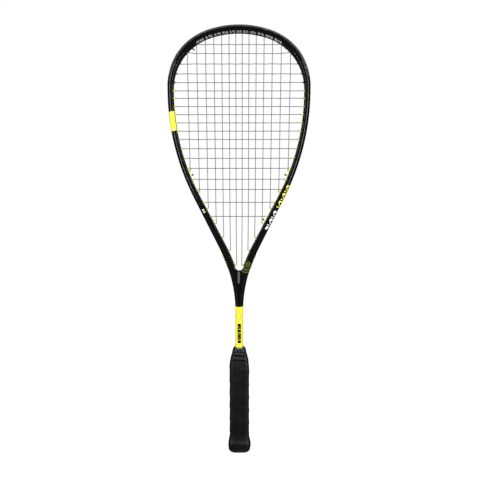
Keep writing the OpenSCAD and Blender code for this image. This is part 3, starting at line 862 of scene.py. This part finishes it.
def knot(b, s):
    """A tight hitch: turns of string round the end of a tie-off barrel's string."""
    heading = at(abs(s))[2]
    base = -half_w(s) - BARREL_OUT - 0.35 * mm - STRING_R * 0.5
    steps, turns, pitch, rad = 26, 2.4, 1.05 * mm, 1.16 * mm
    route = []
    for k in range(int(steps * turns)):
        a = 2 * pi * k / steps
        x, y, z = place(abs(s), base - pitch * k / steps, rad * sin(a))
        route.append((x + rad * cos(a) * cos(heading), y, z - rad * cos(a) * sin(heading)))
    b.rings(tube_any(flip(route) if s < 0 else route, 0.5 * mm))


def tube_any(route, r, sides=10):
    """Tube along a route that bends in every direction."""
    pts = np.array(route)
    t = np.gradient(pts, axis=0)
    t /= np.linalg.norm(t, axis=1)[:, None]
    ref = np.cross(t[0], t[len(t) // 3])
    ref /= np.linalg.norm(ref)
    rings = []
    a = 2 * pi * np.arange(sides) / sides
    for p, d in zip(pts, t):
        ref = ref - d * (ref @ d)
        ref /= np.linalg.norm(ref)
        other = np.cross(d, ref)
        rings.append([tuple(p + r * (cos(x) * ref + sin(x) * other)) for x in a])
    return rings


for node, holes in (
    ("main_string_knots", (main_tie_s, -main_tie_s)),
    ("cross_string_knots", (-cross_tie_s[0], cross_tie_s[1])),
):
    b = Build()
    for s in holes:
        knot(b, s)
    finish_piece(b.make(node + "_visual"), MAT_STRING, "string", node)

# ---- decals on the frame


def face_normal(s, u):
    """Unit normal (outward, forward) of the frame's front at distance s and u outward."""
    e = 0.05 * mm
    high, low = min(half_w(s), u + e), max(inner_end(s), u - e)
    slope = (depth(s, high) - depth(s, low)) / (high - low)
    k = 1 / sqrt(1 + slope * slope)
    return -slope * k, k


def face_point(s, t, lift):
    """Point over the frame's front, t of the way from its outer edge (0) to its inner one (1)."""
    sa = abs(s)
    w = half_w(sa)
    u = w - (w - inner_end(sa)) * t
    nu, nv = face_normal(sa, u)
    return place(s, u + nu * lift, -depth(sa, u) - nv * lift)


def decal(b, corners, surface, lift=0.07 * mm, n=(6, 4), thick=0.06 * mm):
    """Thin closed sheet over a four-cornered patch of a surface, given as (s, t) corners."""
    nu, nv = n
    c = np.array(corners, float)
    top, low = [], []
    for i in range(nu + 1):
        for j in range(nv + 1):
            a, d = i / nu, j / nv
            q = (c[0] * (1 - a) + c[1] * a) * (1 - d) + (c[3] * (1 - a) + c[2] * a) * d
            top.append(surface(q[0], q[1], lift))
            low.append(surface(q[0], q[1], lift - thick))
    m = len(top)
    row = nv + 1
    faces = []
    for i in range(nu):
        for j in range(nv):
            k = i * row + j
            faces += [(k, k + 1, k + row + 1, k + row), (m + k, m + k + row, m + k + row + 1, m + k + 1)]
    edge = [i * row for i in range(nu)] + [nu * row + j for j in range(nv)]
    edge += [i * row + nv for i in range(nu, 0, -1)] + [j for j in range(nv, 0, -1)]
    for a, d in zip(edge, edge[1:] + edge[:1]):
        faces.append((a, d, m + d, m + a))
    b.add(top + low, faces)


def wrap(b, s0, s1, lift, sign, thick=0.1 * mm, step=1.6 * mm):
    """Shell round the hoop from the groove's front lip round the inside to its back lip."""
    list_s = spaced(s0, s1, step) + [s1]
    rings = []
    for s in list_s:
        w, end = half_w(s), inner_end(s)
        outline = [(w, -GROOVE_W / 2 - 0.6 * mm, 1.0, 0.0)]
        us = across(s)
        for u in us:
            nu, nv = face_normal(s, u)
            outline.append((u, -depth(s, u), nu, -nv))
        outline[1] = (w, -depth(s, w), 1.0, 0.0)
        outline[-1] = (end, -depth(s, end), -1.0, 0.0)
        outline += [(end, depth(s, end) * q, -1.0, 0.0) for q in WALL]
        outline += [(u, -v, nu, -nv) for u, v, nu, nv in reversed(outline[: len(us) + 1])]
        ring = [(u + nu * lift, v + nv * lift) for u, v, nu, nv in outline]
        ring += [(u + nu * (lift - thick), v + nv * (lift - thick)) for u, v, nu, nv in reversed(outline)]
        rings.append([place(sign * s, u, v) for u, v in ring])
    b.rings(rings)


def height_s(z):
    """Distance s at which the centre line is at height z."""
    return bisect(lambda s: z - at(s)[1], 0, S_END)


band_a, band_b = height_s(BAND_TOP), height_s(BAND_END)
b = Build()
wrap(b, band_a, band_b, 0.15 * mm, -1)
finish_piece(b.make("hoop_band_visual", sharp=50), MAT_YELLOW, "yellow_decal", "hoop_band")
b = Build()
for s in (band_a + 2.4 * mm, band_b - 3.2 * mm):
    wrap(b, s, s + 0.7 * mm, 0.2 * mm, -1, 0.045 * mm, 0.35 * mm)
finish_piece(b.make("hoop_band_lines", sharp=50), MAT_PALE, "yellow_decal")


def shaft_point(z, q, lift):
    """Point on the shaft's front at height z, q from -1 (left edge) to 1 (right edge)."""
    s = height_s(z)
    w = half_w(s)
    x_full = at(s)[0] + w
    u = abs(q) * x_full - at(s)[0]
    return face_point(s if q >= 0 else -s, (w - u) / (w - inner_end(s)), lift)


def shaft_loop(z, lift, tilt=None):
    """Closed loop round the whole shaft at height z; tilt lowers the middle of the front and back edges."""
    s = height_s(z)
    right = []
    for u in across(s):
        t = (half_w(s) - u) / (half_w(s) - inner_end(s))
        right.append(face_point(s, t, lift))
    right[0] = place(s, half_w(s) + lift, -depth(s, half_w(s)))
    front = [(-x, y, z_) for x, y, z_ in right[:-1]] + right[::-1]
    loop = front + [(x, -y, z_) for x, y, z_ in reversed(front)]
    if tilt:
        half_x = max(p[0] for p in loop)
        loop = [(x, y, z_ - tilt * (1 - (x / half_x) ** 2)) for x, y, z_ in loop]
    return loop


def build_sleeve(low, high, lift, thick, tilt):
    """Thin sleeve round the shaft, with its top edge curved down at the front and back."""
    b = Build()
    zs = spaced(low, high, 2.5 * mm) + [high]
    tilts = [tilt * ease((z - high + 6 * mm) / (6 * mm)) for z in zs]
    outer, inner = ([shaft_loop(z, h, t) for z, t in zip(zs, tilts)] for h in (lift, lift - thick))
    b.rings(outer + inner[::-1], closed=True)
    return b.make("shaft_sleeve_visual", sharp=50)


sleeve = build_sleeve(FINISH_TOP - 4 * mm, SLEEVE_TOP, 0.14 * mm, 0.09 * mm, 2.0 * mm)
finish_piece(sleeve, MAT_YELLOW, "yellow_decal", "shaft_sleeve")

# Generic marks stand where the real racket is printed: bars, slashes and outlined blocks with no meaning


def marks_object(name, mat, slot, draw):
    """One piece from every decal that draw makes."""
    b = Build()
    draw(b)
    return finish_piece(b.make(name, sharp=40), mat, slot)


def inner_wall(s, v, lift):
    """Point on the frame's inner wall at depth v, lifted into the hoop."""
    return place(s, -half_w(abs(s)) - lift, v)


def crown_marks(b):
    """Slanted white bars on the inside of the crown, in each gap between the mains."""
    holes = sorted([-s for s in main_top_s[:6]] + main_top_s[:6])
    r = np.random.default_rng(7)
    for a, c in zip(holes, holes[1:]):
        l = c - a - 3.8 * mm
        start = a + 1.9 * mm
        for k, wide, back in ((0.0, 0.36, 4.6), (0.45, 0.2, 1.0), (0.72, 0.28, 4.6)):
            x0, x1 = start + k * l, start + (k + wide * (0.75 + 0.35 * r.random())) * l
            front, back = -8.4 * mm, (back - 3.2 * r.random()) * mm
            slant = 0.9 * mm
            decal(b, [(x0, front), (x1, front), (x1 + slant, back), (x0 + slant, back)], inner_wall, n=(4, 6))


marks_object("crown_marks", MAT_WHITE, "frame_lacquer", crown_marks)


def arm_marks(b, top, low, seed):
    """Slashes and short bars along the outer part of the right arm's front, between two heights."""
    r = np.random.default_rng(seed)
    s, last = height_s(top), height_s(low)
    k = 0
    while s < last - 2 * mm:
        wide = (3.2, 1.3, 2.2, 1.3)[k % 4] * mm
        t0, t1 = ((0.1, 0.5), (0.26, 0.5), (0.1, 0.3), (0.1, 0.5))[k % 4]
        skew = (1.4, 0.0, -1.2, 0.8)[k % 4] * mm
        decal(b, [(s, t0), (s + wide, t0), (s + wide + skew, t1), (s + skew, t1)], face_point, n=(3, 6))
        s += wide + (1.2, 1.5, 1.3, 1.9)[k % 4] * mm * (0.9 + 0.2 * r.random())
        k += 1


marks_object("arm_marks_yellow", MAT_YELLOW, "yellow_decal", lambda b: arm_marks(b, 428 * mm, 390 * mm, 3))
marks_object("arm_marks_white", MAT_WHITE, "frame_lacquer", lambda b: arm_marks(b, 387 * mm, 356 * mm, 4))


def throat_emblem(b):
    """Outlined hexagon over three chevrons at the foot of the right arm."""
    c = height_s(297 * mm)
    hub = c - 3.5 * mm

    def stroke(p, q, wide):
        p, q = np.array(p), np.array(q)
        scale = 1 / (2 * half_w(c))
        m = (q - p) / (1, scale)
        m /= np.linalg.norm(m)
        o = np.array([-m[1], m[0] * scale]) * wide / 2
        decal(b, [p + o, q + o, q - o, p - o], face_point, n=(5, 2))

    hexagon = [(hub + 4.6 * mm * cos(radians(a)), 0.5 + 0.27 * sin(radians(a))) for a in range(0, 360, 60)]
    for p, q in zip(hexagon, hexagon[1:] + hexagon[:1]):
        stroke(p, q, 0.8 * mm)
    for a in (30, 150, 270):
        stroke((hub, 0.5), (hub + 3.4 * mm * cos(radians(a)), 0.5 + 0.2 * sin(radians(a))), 0.7 * mm)
    for k in (0, 1, 2):
        y = c + (2.6 + 2.9 * k) * mm
        stroke((y, 0.14), (y + 2.6 * mm, 0.5), 0.8 * mm)
        stroke((y + 2.6 * mm, 0.5), (y, 0.86), 0.8 * mm)


marks_object("throat_emblem", MAT_OLIVE, "yellow_decal", throat_emblem)


def throat_point(x, z, lift):
    """Point on the throat's front at x and z."""
    s = height_s(z)
    return shaft_point(z, x / (at(s)[0] + half_w(s)), lift)


def throat_painted_highlight(b):
    """Painted highlight: a pale grey-brown streak laid as a thin sheet on the floor of the facet below the
    crotch, a little left of the middle, standing in for a reflection of the light.
    """
    high, low, wide, c = 286.5 * mm, 269 * mm, 1.6 * mm, -0.8 * mm
    n = 12
    for k in range(n):
        z0, z1 = high + (low - high) * k / n, high + (low - high) * (k + 1) / n
        w0, w1 = (wide * (0.35 + 0.65 * sqrt(sin(pi * (0.06 + 0.88 * q)))) for q in (k / n, (k + 1) / n))
        corners = [(c - w0, z0), (c + w0, z0), (c + w1, z1), (c - w1, z1)]
        decal(b, corners, throat_point, lift=0.03 * mm, n=(6, 2), thick=0.05 * mm)


def left_arm_mark(b):
    """Three slashes on the left arm."""
    wide, slant = 1.2 * mm, 0.8 * mm
    for k in range(3):
        s = -height_s(389 * mm) - k * 2.4 * mm
        corners = [(s, 0.3), (s - wide, 0.3), (s - wide - slant, 0.62), (s - slant, 0.62)]
        decal(b, corners, face_point, n=(2, 5))


marks_object("left_arm_mark", MAT_WHITE, "frame_lacquer", left_arm_mark)
# The pale streak on the throat is painted light, a painted highlight, not print
marks_object("throat_painted_highlight", MAT_PAINTED_HIGHLIGHT, "frame_lacquer", throat_painted_highlight)


def on_sleeve(z, q, lift):
    """Point on the sleeve's front."""
    return shaft_point(z, q, lift + 0.12 * mm)


def shaft_bars(b):
    """Bold black bars up the middle of the sleeve's lower half."""
    z, wide, gap = 174.4 * mm, 0.44, 0.48
    for k, tall in enumerate((4.9, 2.7, 5.2, 2.3, 5.0, 2.9, 5.1)):
        high = z + tall * mm
        slant = (0.0, 0.5, 0.0, -0.5)[k % 4] * mm
        decal(b, [(z, -wide), (z + slant, wide), (high + slant, wide), (high, -wide)], on_sleeve, n=(6, 3))
        z += (tall + gap) * mm


def shaft_outlines(b):
    """Pale outlined blocks above the bars, with a stroke across every other one."""

    def bar(z0, z1, q0, q1, n):
        decal(b, [(z0, q0), (z0, q1), (z1, q1), (z1, q0)], on_sleeve, n=n)

    q, line = 0.43, 0.75 * mm
    inner = q - line / SHAFT_W * 2
    for k in range(4):
        z0, z1 = (207.4 + 5.7 * k) * mm, (212.3 + 5.7 * k) * mm
        bar(z0, z0 + line, -q, q, (8, 1))
        bar(z1 - line, z1, -q, q, (8, 1))
        bar(z0, z1, -q, -inner, (1, 4))
        bar(z0, z1, q, inner, (1, 4))
        if k % 2 == 0:
            zc = (z0 + z1) / 2
            bar(zc - line / 2, zc + line / 2, -q * 0.5, q * 0.5, (5, 1))


marks_object("shaft_bars", MAT_BLACK, "yellow_decal", shaft_bars)
marks_object("shaft_outlines", MAT_KHAKI, "yellow_decal", shaft_outlines)

# ---- handle

M = 144  # points round the handle
GRIP = [(4.5, 16.9, 15.1), (8, 17.85, 16), (12.5, 18.25, 16.4), (15.5, 17.8, 16), (18, 16.95, 15.2)]
GRIP += [(22, 16.3, 14.5), (28, 15.7, 13.9), (36, 15.6, 13.8), (112, 15.6, 13.8), (126, 15.85, 14)]
GRIP += [(138, 15.75, 13.9), (146, 14.8, 13.4), (152, 13.3, 12.9), (160, 10.9, 12.2), (164, 9.5, 11.95)]
GRIP_Z, GRIP_X, GRIP_Y = (np.array([g[k] for g in GRIP]) * mm for k in (0, 1, 2))
GRIP_LOW, GRIP_HIGH = 4.55 * mm, 161.0 * mm
TAPE_T, ROUNDING = 1.5 * mm, 0.42


def smooth_form(z, values):
    """The grip's form at height z, with its corners eased, more so above the flare."""
    e = (0.7 + 0.9 * ease((z - 24 * mm) / (10 * mm))) * mm
    return float(np.mean([np.interp(z + d * e, GRIP_Z, values) for d in (-2, -1, 0, 1, 2)]))


def round_box(hx, hy, r, n=M):
    """n points, and their normals, evenly round a rounded rectangle from the middle of its right side."""
    sx, sy, q = hx - r, hy - r, r * pi / 2
    parts = [sy, q, 2 * sx, q, 2 * sy, q, 2 * sx, q, sy]
    total = sum(parts)
    pts, nor = [], []
    for k in range(n):
        d = total * k / n
        i = 0
        while d > parts[i] + 1e-12 and i < 8:
            d -= parts[i]
            i += 1
        if i in (0, 8):
            p, m = (hx, d if i == 0 else -sy + d), (1, 0)
        elif i == 2:
            p, m = (sx - d, hy), (0, 1)
        elif i == 4:
            p, m = (-hx, sy - d), (-1, 0)
        elif i == 6:
            p, m = (-sx + d, -hy), (0, -1)
        else:
            a = d / r + (i - 1) // 2 * pi / 2
            cx = sx if i in (1, 7) else -sx
            cy = sy if i in (1, 3) else -sy
            p, m = (cx + r * cos(a), cy + r * sin(a)), (cos(a), sin(a))
        pts.append(p)
        nor.append(m)
    return pts, nor


def turn_z(t):
    """Height of the strip's lower edge after t turns, at the middle of the front."""
    return (29.8 + 18.0 * t + 0.37 * t * t) * mm


def strip_relief(q):
    """How far the wound strip lies below its outermost skin, q of the way from one edge to the next."""
    edge = 0.32 * mm
    if q < 0.022:
        lift = ease(q / 0.022)
    elif q < 0.2:
        lift = 1 - 0.1 * (q - 0.022)
    else:
        lift = 1 - 0.018 - 0.982 * ease((q - 0.2) / 0.3)
    drop = edge * (1 - lift)
    # The next turn presses a soft crease below its edge
    drop += 0.1 * mm * ease((q - 0.93) / 0.06)
    return drop


def fold_relief(z, around):
    """Soft folds that wind round the taper, where the strip ends in narrow turns."""
    k = ease((z - 141 * mm) / (5 * mm))
    wave = 0.5 - 0.5 * cos(2 * pi * ((z - 145.2 * mm) / (7.2 * mm) + around))
    return 0.5 * mm * k * (1 - wave) ** 1.4


def build_grip():
    """The wound strip as one skin that follows its turns, between two level rings, and its plain inside."""
    qs = [0, 0.011, 0.022, 0.05, *np.linspace(0.09, 0.93, 33), 0.955, 0.98, 0.992]
    n_turn = len(qs)
    turns = range(-3, 8)
    verts, faces, ids, boxes = [], [], {}, {}

    def point(z, q, j):
        hx, hy = smooth_form(z, GRIP_X), smooth_form(z, GRIP_Y)
        key = (round(hx, 6), round(hy, 6))
        if key not in boxes:
            boxes[key] = round_box(hx, hy, ROUNDING * hx)
        (x, y), (nx, ny) = boxes[key][0][j], boxes[key][1][j]
        drop = strip_relief(q) * ease((z - GRIP_LOW) / (2 * mm)) * ease((147 * mm - z) / (6 * mm))
        drop += fold_relief(z, j / M - 0.75) * ease((GRIP_HIGH - z + 0.1 * mm) / (1 * mm))
        full = 1 + 0.018 * ease((z - 24 * mm) / (10 * mm))
        return (x * full - nx * drop, y - ny * drop, z)

    for tn in turns:
        for k, q in enumerate(qs):
            for j in range(M):
                z = min(GRIP_HIGH, max(GRIP_LOW, turn_z(tn + q - (j / M - 0.75))))
                level = z in (GRIP_LOW, GRIP_HIGH)
                key = (z, j) if level else (tn, k, j)
                if key not in ids:
                    ids[key] = len(verts)
                    verts.append(point(z, 0.5 if level else q, j))
                ids[tn, k, j] = ids[key]

    def vid(tn, k, j):
        if j == M:
            tn, j = tn - 1, 0
        if k == n_turn:
            tn, k = tn + 1, 0
        return ids.get((tn, k, j))

    for tn in turns:
        for k in range(n_turn):
            for j in range(M):
                around = ((k, j), (k, j + 1), (k + 1, j + 1), (k + 1, j))
                f = dict.fromkeys(vid(tn, *corner) for corner in around)
                if None not in f and len(f) > 2:
                    faces.append(tuple(f))
    zs = [GRIP_LOW, *GRIP_Z[1:-1], GRIP_HIGH]
    base = len(verts)
    for z in zs:
        hx, hy = (float(np.interp(z, GRIP_Z, form)) - TAPE_T for form in (GRIP_X, GRIP_Y))
        verts += [(x, y, z) for x, y in round_box(hx, hy, ROUNDING * hx)[0]]
    for k in range(len(zs) - 1):
        for j in range(M):
            a, c = base + k * M, base + (k + 1) * M
            faces.append((a + j, c + j, c + (j + 1) % M, a + (j + 1) % M))
    for z, row in ((GRIP_LOW, base), (GRIP_HIGH, base + (len(zs) - 1) * M)):
        for j in range(M):
            i = (j + 1) % M
            faces.append((ids[z, j], row + j, row + i, ids[z, i]))
    return link("grip_tape_visual", verts, faces, sharp=60)


finish_piece(build_grip(), MAT_GRIP, "grip", "grip_tape")


def level_rings(form, corner=ROUNDING):
    """Rounded rectangles from (height, half width, half depth) in millimetres."""
    rings = []
    for z, hx, hy in form:
        pts, _ = round_box(hx * mm, hy * mm, min(corner * hx, hy * 0.98) * mm)
        rings.append([(x, y, z * mm) for x, y in pts])
    return rings


def build_finishing_tape():
    """Three narrow turns of vinyl tape over the end of the grip, then a band on the shaft."""
    form = [(159.9, 11.15, 12.36), (160.1, 11.34, 12.52), (160.8, 11.22, 12.5), (161.8, 10.86, 12.44)]
    form += [(162.3, 10.62, 12.38), (162.5, 10.66, 12.4), (163.3, 10.36, 12.3), (164.3, 9.9, 12.18)]
    form += [(164.8, 9.56, 12.06), (165.0, 9.5, 12.02), (165.9, 8.72, 11.72), (166.7, 8.14, 11.42)]
    form += [(167.2, 7.84, 11.28), (167.45, 7.62, 11.14), (167.5, 7.3, 10.9)]
    inside = [(167.45, 6.75, 10.45), (165.0, 6.75, 10.45), (164.3, 6.9, 10.6), (164.1, 9.0, 11.9)]
    inside += [(161.0, 10.7, 12.18), (159.95, 10.98, 12.26)]
    b = Build()
    b.rings(level_rings(form + inside, 0.62), closed=True)
    return b.make("finishing_tape_visual", sharp=55)


finish_piece(build_finishing_tape(), MAT_TAPE, "finishing_tape", "finishing_tape")


def build_cap():
    """Moulded cup: recess for the badge, rounded rim, thin parting line, and the sleeve under the grip."""
    ref, _ = round_box(17 * mm, 15 * mm, 7 * mm)
    recess = ((0.97, 0.6), (0.97, 7.9), (0.85, 8.15), (0.2, 8.15), (0.03, 8.3), (0.0, 8.5))
    rings = [
        [(r * mm * cos(atan2(y, x)), r * mm * sin(atan2(y, x)), z * mm) for x, y in ref] for z, r in recess
    ]
    form = [(0, 10.8, 11.8), (0.1, 11.6, 12.3), (0.35, 12.4, 12.75), (0.8, 13.3, 13.25), (1.4, 14.2, 13.7)]
    form += [(2.0, 14.95, 14.05), (2.7, 15.62, 14.37), (2.8, 15.62, 14.35), (2.9, 15.76, 14.44)]
    form += [(3.5, 16.24, 14.68), (4.1, 16.66, 14.9), (4.35, 16.76, 14.98), (4.45, 16.6, 14.8)]
    form += [(4.47, 15.9, 14.1), (4.5, 15.2, 13.4), (8, 16.25, 14.4), (12.5, 16.65, 14.8), (15.5, 16.2, 14.4)]
    form += [(18, 15.35, 13.6), (22, 14.7, 12.9), (22, 12.8, 11.5), (4.55, 12.8, 11.5)]
    b = Build()
    b.rings(rings + level_rings(form))
    return b.make("butt_cap_visual", sharp=50)


finish_piece(build_cap(), MAT_CAP, "butt_cap", "butt_cap")


def build_badge():
    """Slightly domed disc, with two plain rings raised on it."""
    prof = [(0.01, 0.28), (1.0, 0.272), (2.7, 0.25), (3.0, 0.2), (3.5, 0.2), (3.8, 0.245), (5.6, 0.22)]
    prof += [(5.9, 0.17), (6.4, 0.17), (6.7, 0.22), (7.6, 0.25), (7.9, 0.38), (7.98, 0.55), (7.98, 0.93)]
    around = [2 * pi * k / 72 for k in range(72)]
    b = Build()
    b.rings([[(r * mm * cos(a), r * mm * sin(a), z * mm) for a in around] for r, z in prof])
    return b.make("butt_badge_visual", sharp=40)


finish_piece(build_badge(), MAT_YELLOW, "badge", "butt_badge")

# Pieces inside the handle keep their CAD shape
INSIDE = ((MAT_FOAM, "front_pallet", "back_pallet"), (MAT_STEEL, "butt_cap_staples", "grip_staple"))
for mat, *nodes in INSIDE:
    for node in nodes:
        materials = frame["nodes"][node].data.materials
        materials.clear()
        materials.append(mat)

# ---- stage, light and camera

scene = bpy.context.scene
scene.view_settings.view_transform = "Standard"

# White where the camera sees it, dim as light, and dimmer still in reflections
SOFT, MIRRORED = 0.07, 0.025
world = bpy.data.worlds.new("studio")
scene.world = world
world.use_nodes = True
wt = world.node_tree
wt.nodes.clear()
kinds = ("LightPath", "Background", "Background", "Math", "MixShader", "OutputWorld")
path, white, soft, dim, mix, out = (wt.nodes.new("ShaderNode" + kind) for kind in kinds)
for glow in (white, soft):
    glow.inputs["Color"].default_value = (1, 1, 1, 1)
dim.operation = "MULTIPLY_ADD"
dim.inputs[1].default_value, dim.inputs[2].default_value = MIRRORED - SOFT, SOFT
for source, socket in (
    (path.outputs["Is Glossy Ray"], dim.inputs[0]),
    (dim.outputs[0], soft.inputs["Strength"]),
    (path.outputs["Is Camera Ray"], mix.inputs[0]),
    (soft.outputs[0], mix.inputs[1]),
    (white.outputs[0], mix.inputs[2]),
    (mix.outputs[0], out.inputs[0]),
):
    wt.links.new(source, socket)


def softbox(name, azimuth, height, dist, size, watts, aim=(0, 0, 0.36)):
    """Area light at an angle round from the camera's side, aimed at the racket."""
    data = bpy.data.lights.new(name, "AREA")
    data.shape = "RECTANGLE"
    data.size, data.size_y = size
    data.energy = watts
    o = bpy.data.objects.new(name, data)
    o.visible_camera = False
    scene.collection.objects.link(o)
    a = radians(azimuth)
    o.location = (dist * sin(a), -dist * cos(a), height)
    d = Vector(aim) - o.location
    o.rotation_euler = d.to_track_quat("-Z", "Y").to_euler()
    return o


def lit_only(name, test):
    """Collection of the pieces that pass a test, for lights that only they get."""
    group = bpy.data.collections.new(name)
    for o in scene.objects:
        if o.type == "MESH" and test(o):
            group.objects.link(o)
    return group


# Strips draw the lines along the tube, and broad fill lights it evenly without being mirrored
for name, az in (("strip_left", -42), ("strip_right", 42)):
    softbox(name, az, 0.7, 1.5, (0.1, 1.3), 6.5)
for az in (-28, 28):
    softbox("fill", az, 0.5, 2.2, (1.6, 1.8), 34).visible_glossy = False
# Small lights for the handle, and one for the soft line along the bumper's front corner
handle = lit_only("handle", lambda o: o.bound_box[6][2] < 0.17)
guard = lit_only("guard", lambda o: o.name.startswith("bumper_guard"))
for group, *args in (
    (handle, "grip_key", 0, 1.15, 1.5, (0.2, 0.4), 7.0),
    (handle, "overhead", 0, 1.9, 0.25, (0.6, 0.3), 3.0),
    (handle, "grip_right", 70, 0.09, 1.2, (0.6, 0.3), 0.8, (0, 0, 0.09)),
    (handle, "grip_left", -76, 0.09, 1.2, (0.5, 0.3), 0.5, (0, 0, 0.09)),
    (guard, "bumper_key", 0, 2.3, 1.5, (0.5, 0.1), 6.0, (0, 0, 0.686)),
):
    softbox(*args).light_linking.receiver_collection = group

FLOOR_REACH, FLOOR_DROP = 4, 0.2 * mm
floor_mesh = bpy.data.meshes.new("floor")
corners = [(x * FLOOR_REACH, y * FLOOR_REACH, 0) for x, y in ((-1, -1), (1, -1), (1, 1), (-1, 1))]
floor_mesh.from_pydata(corners, [], [(0, 1, 2, 3)])
floor = bpy.data.objects.new("floor", floor_mesh)
floor.location.z = -FLOOR_DROP
scene.collection.objects.link(floor)
n = Nodes("floor")
ray = n.node("LightPath").outputs
floor.data.materials.append(n.out(
    Base_Color=n.mix(ray["Is Glossy Ray"], (0.6, 0.6, 0.6), (0.08, 0.08, 0.08)), Roughness=0.9,
    Specular_IOR_Level=0.0, Emission_Color=(1, 1, 1), Emission_Strength=ray["Is Camera Ray"],
))

cam_data = bpy.data.cameras.new("camera")
SENSOR_MM, LENS_MM = 36, 48.83
CAMERA_AT, CAMERA_ROLL = (1.3 * mm, -1050 * mm, 339.3 * mm), radians(0.06)
cam_data.sensor_width = SENSOR_MM
cam_data.lens = LENS_MM
cam = bpy.data.objects.new("camera", cam_data)
scene.collection.objects.link(cam)
cam.location = CAMERA_AT
cam.rotation_euler = (pi / 2, CAMERA_ROLL, 0)
scene.camera = cam
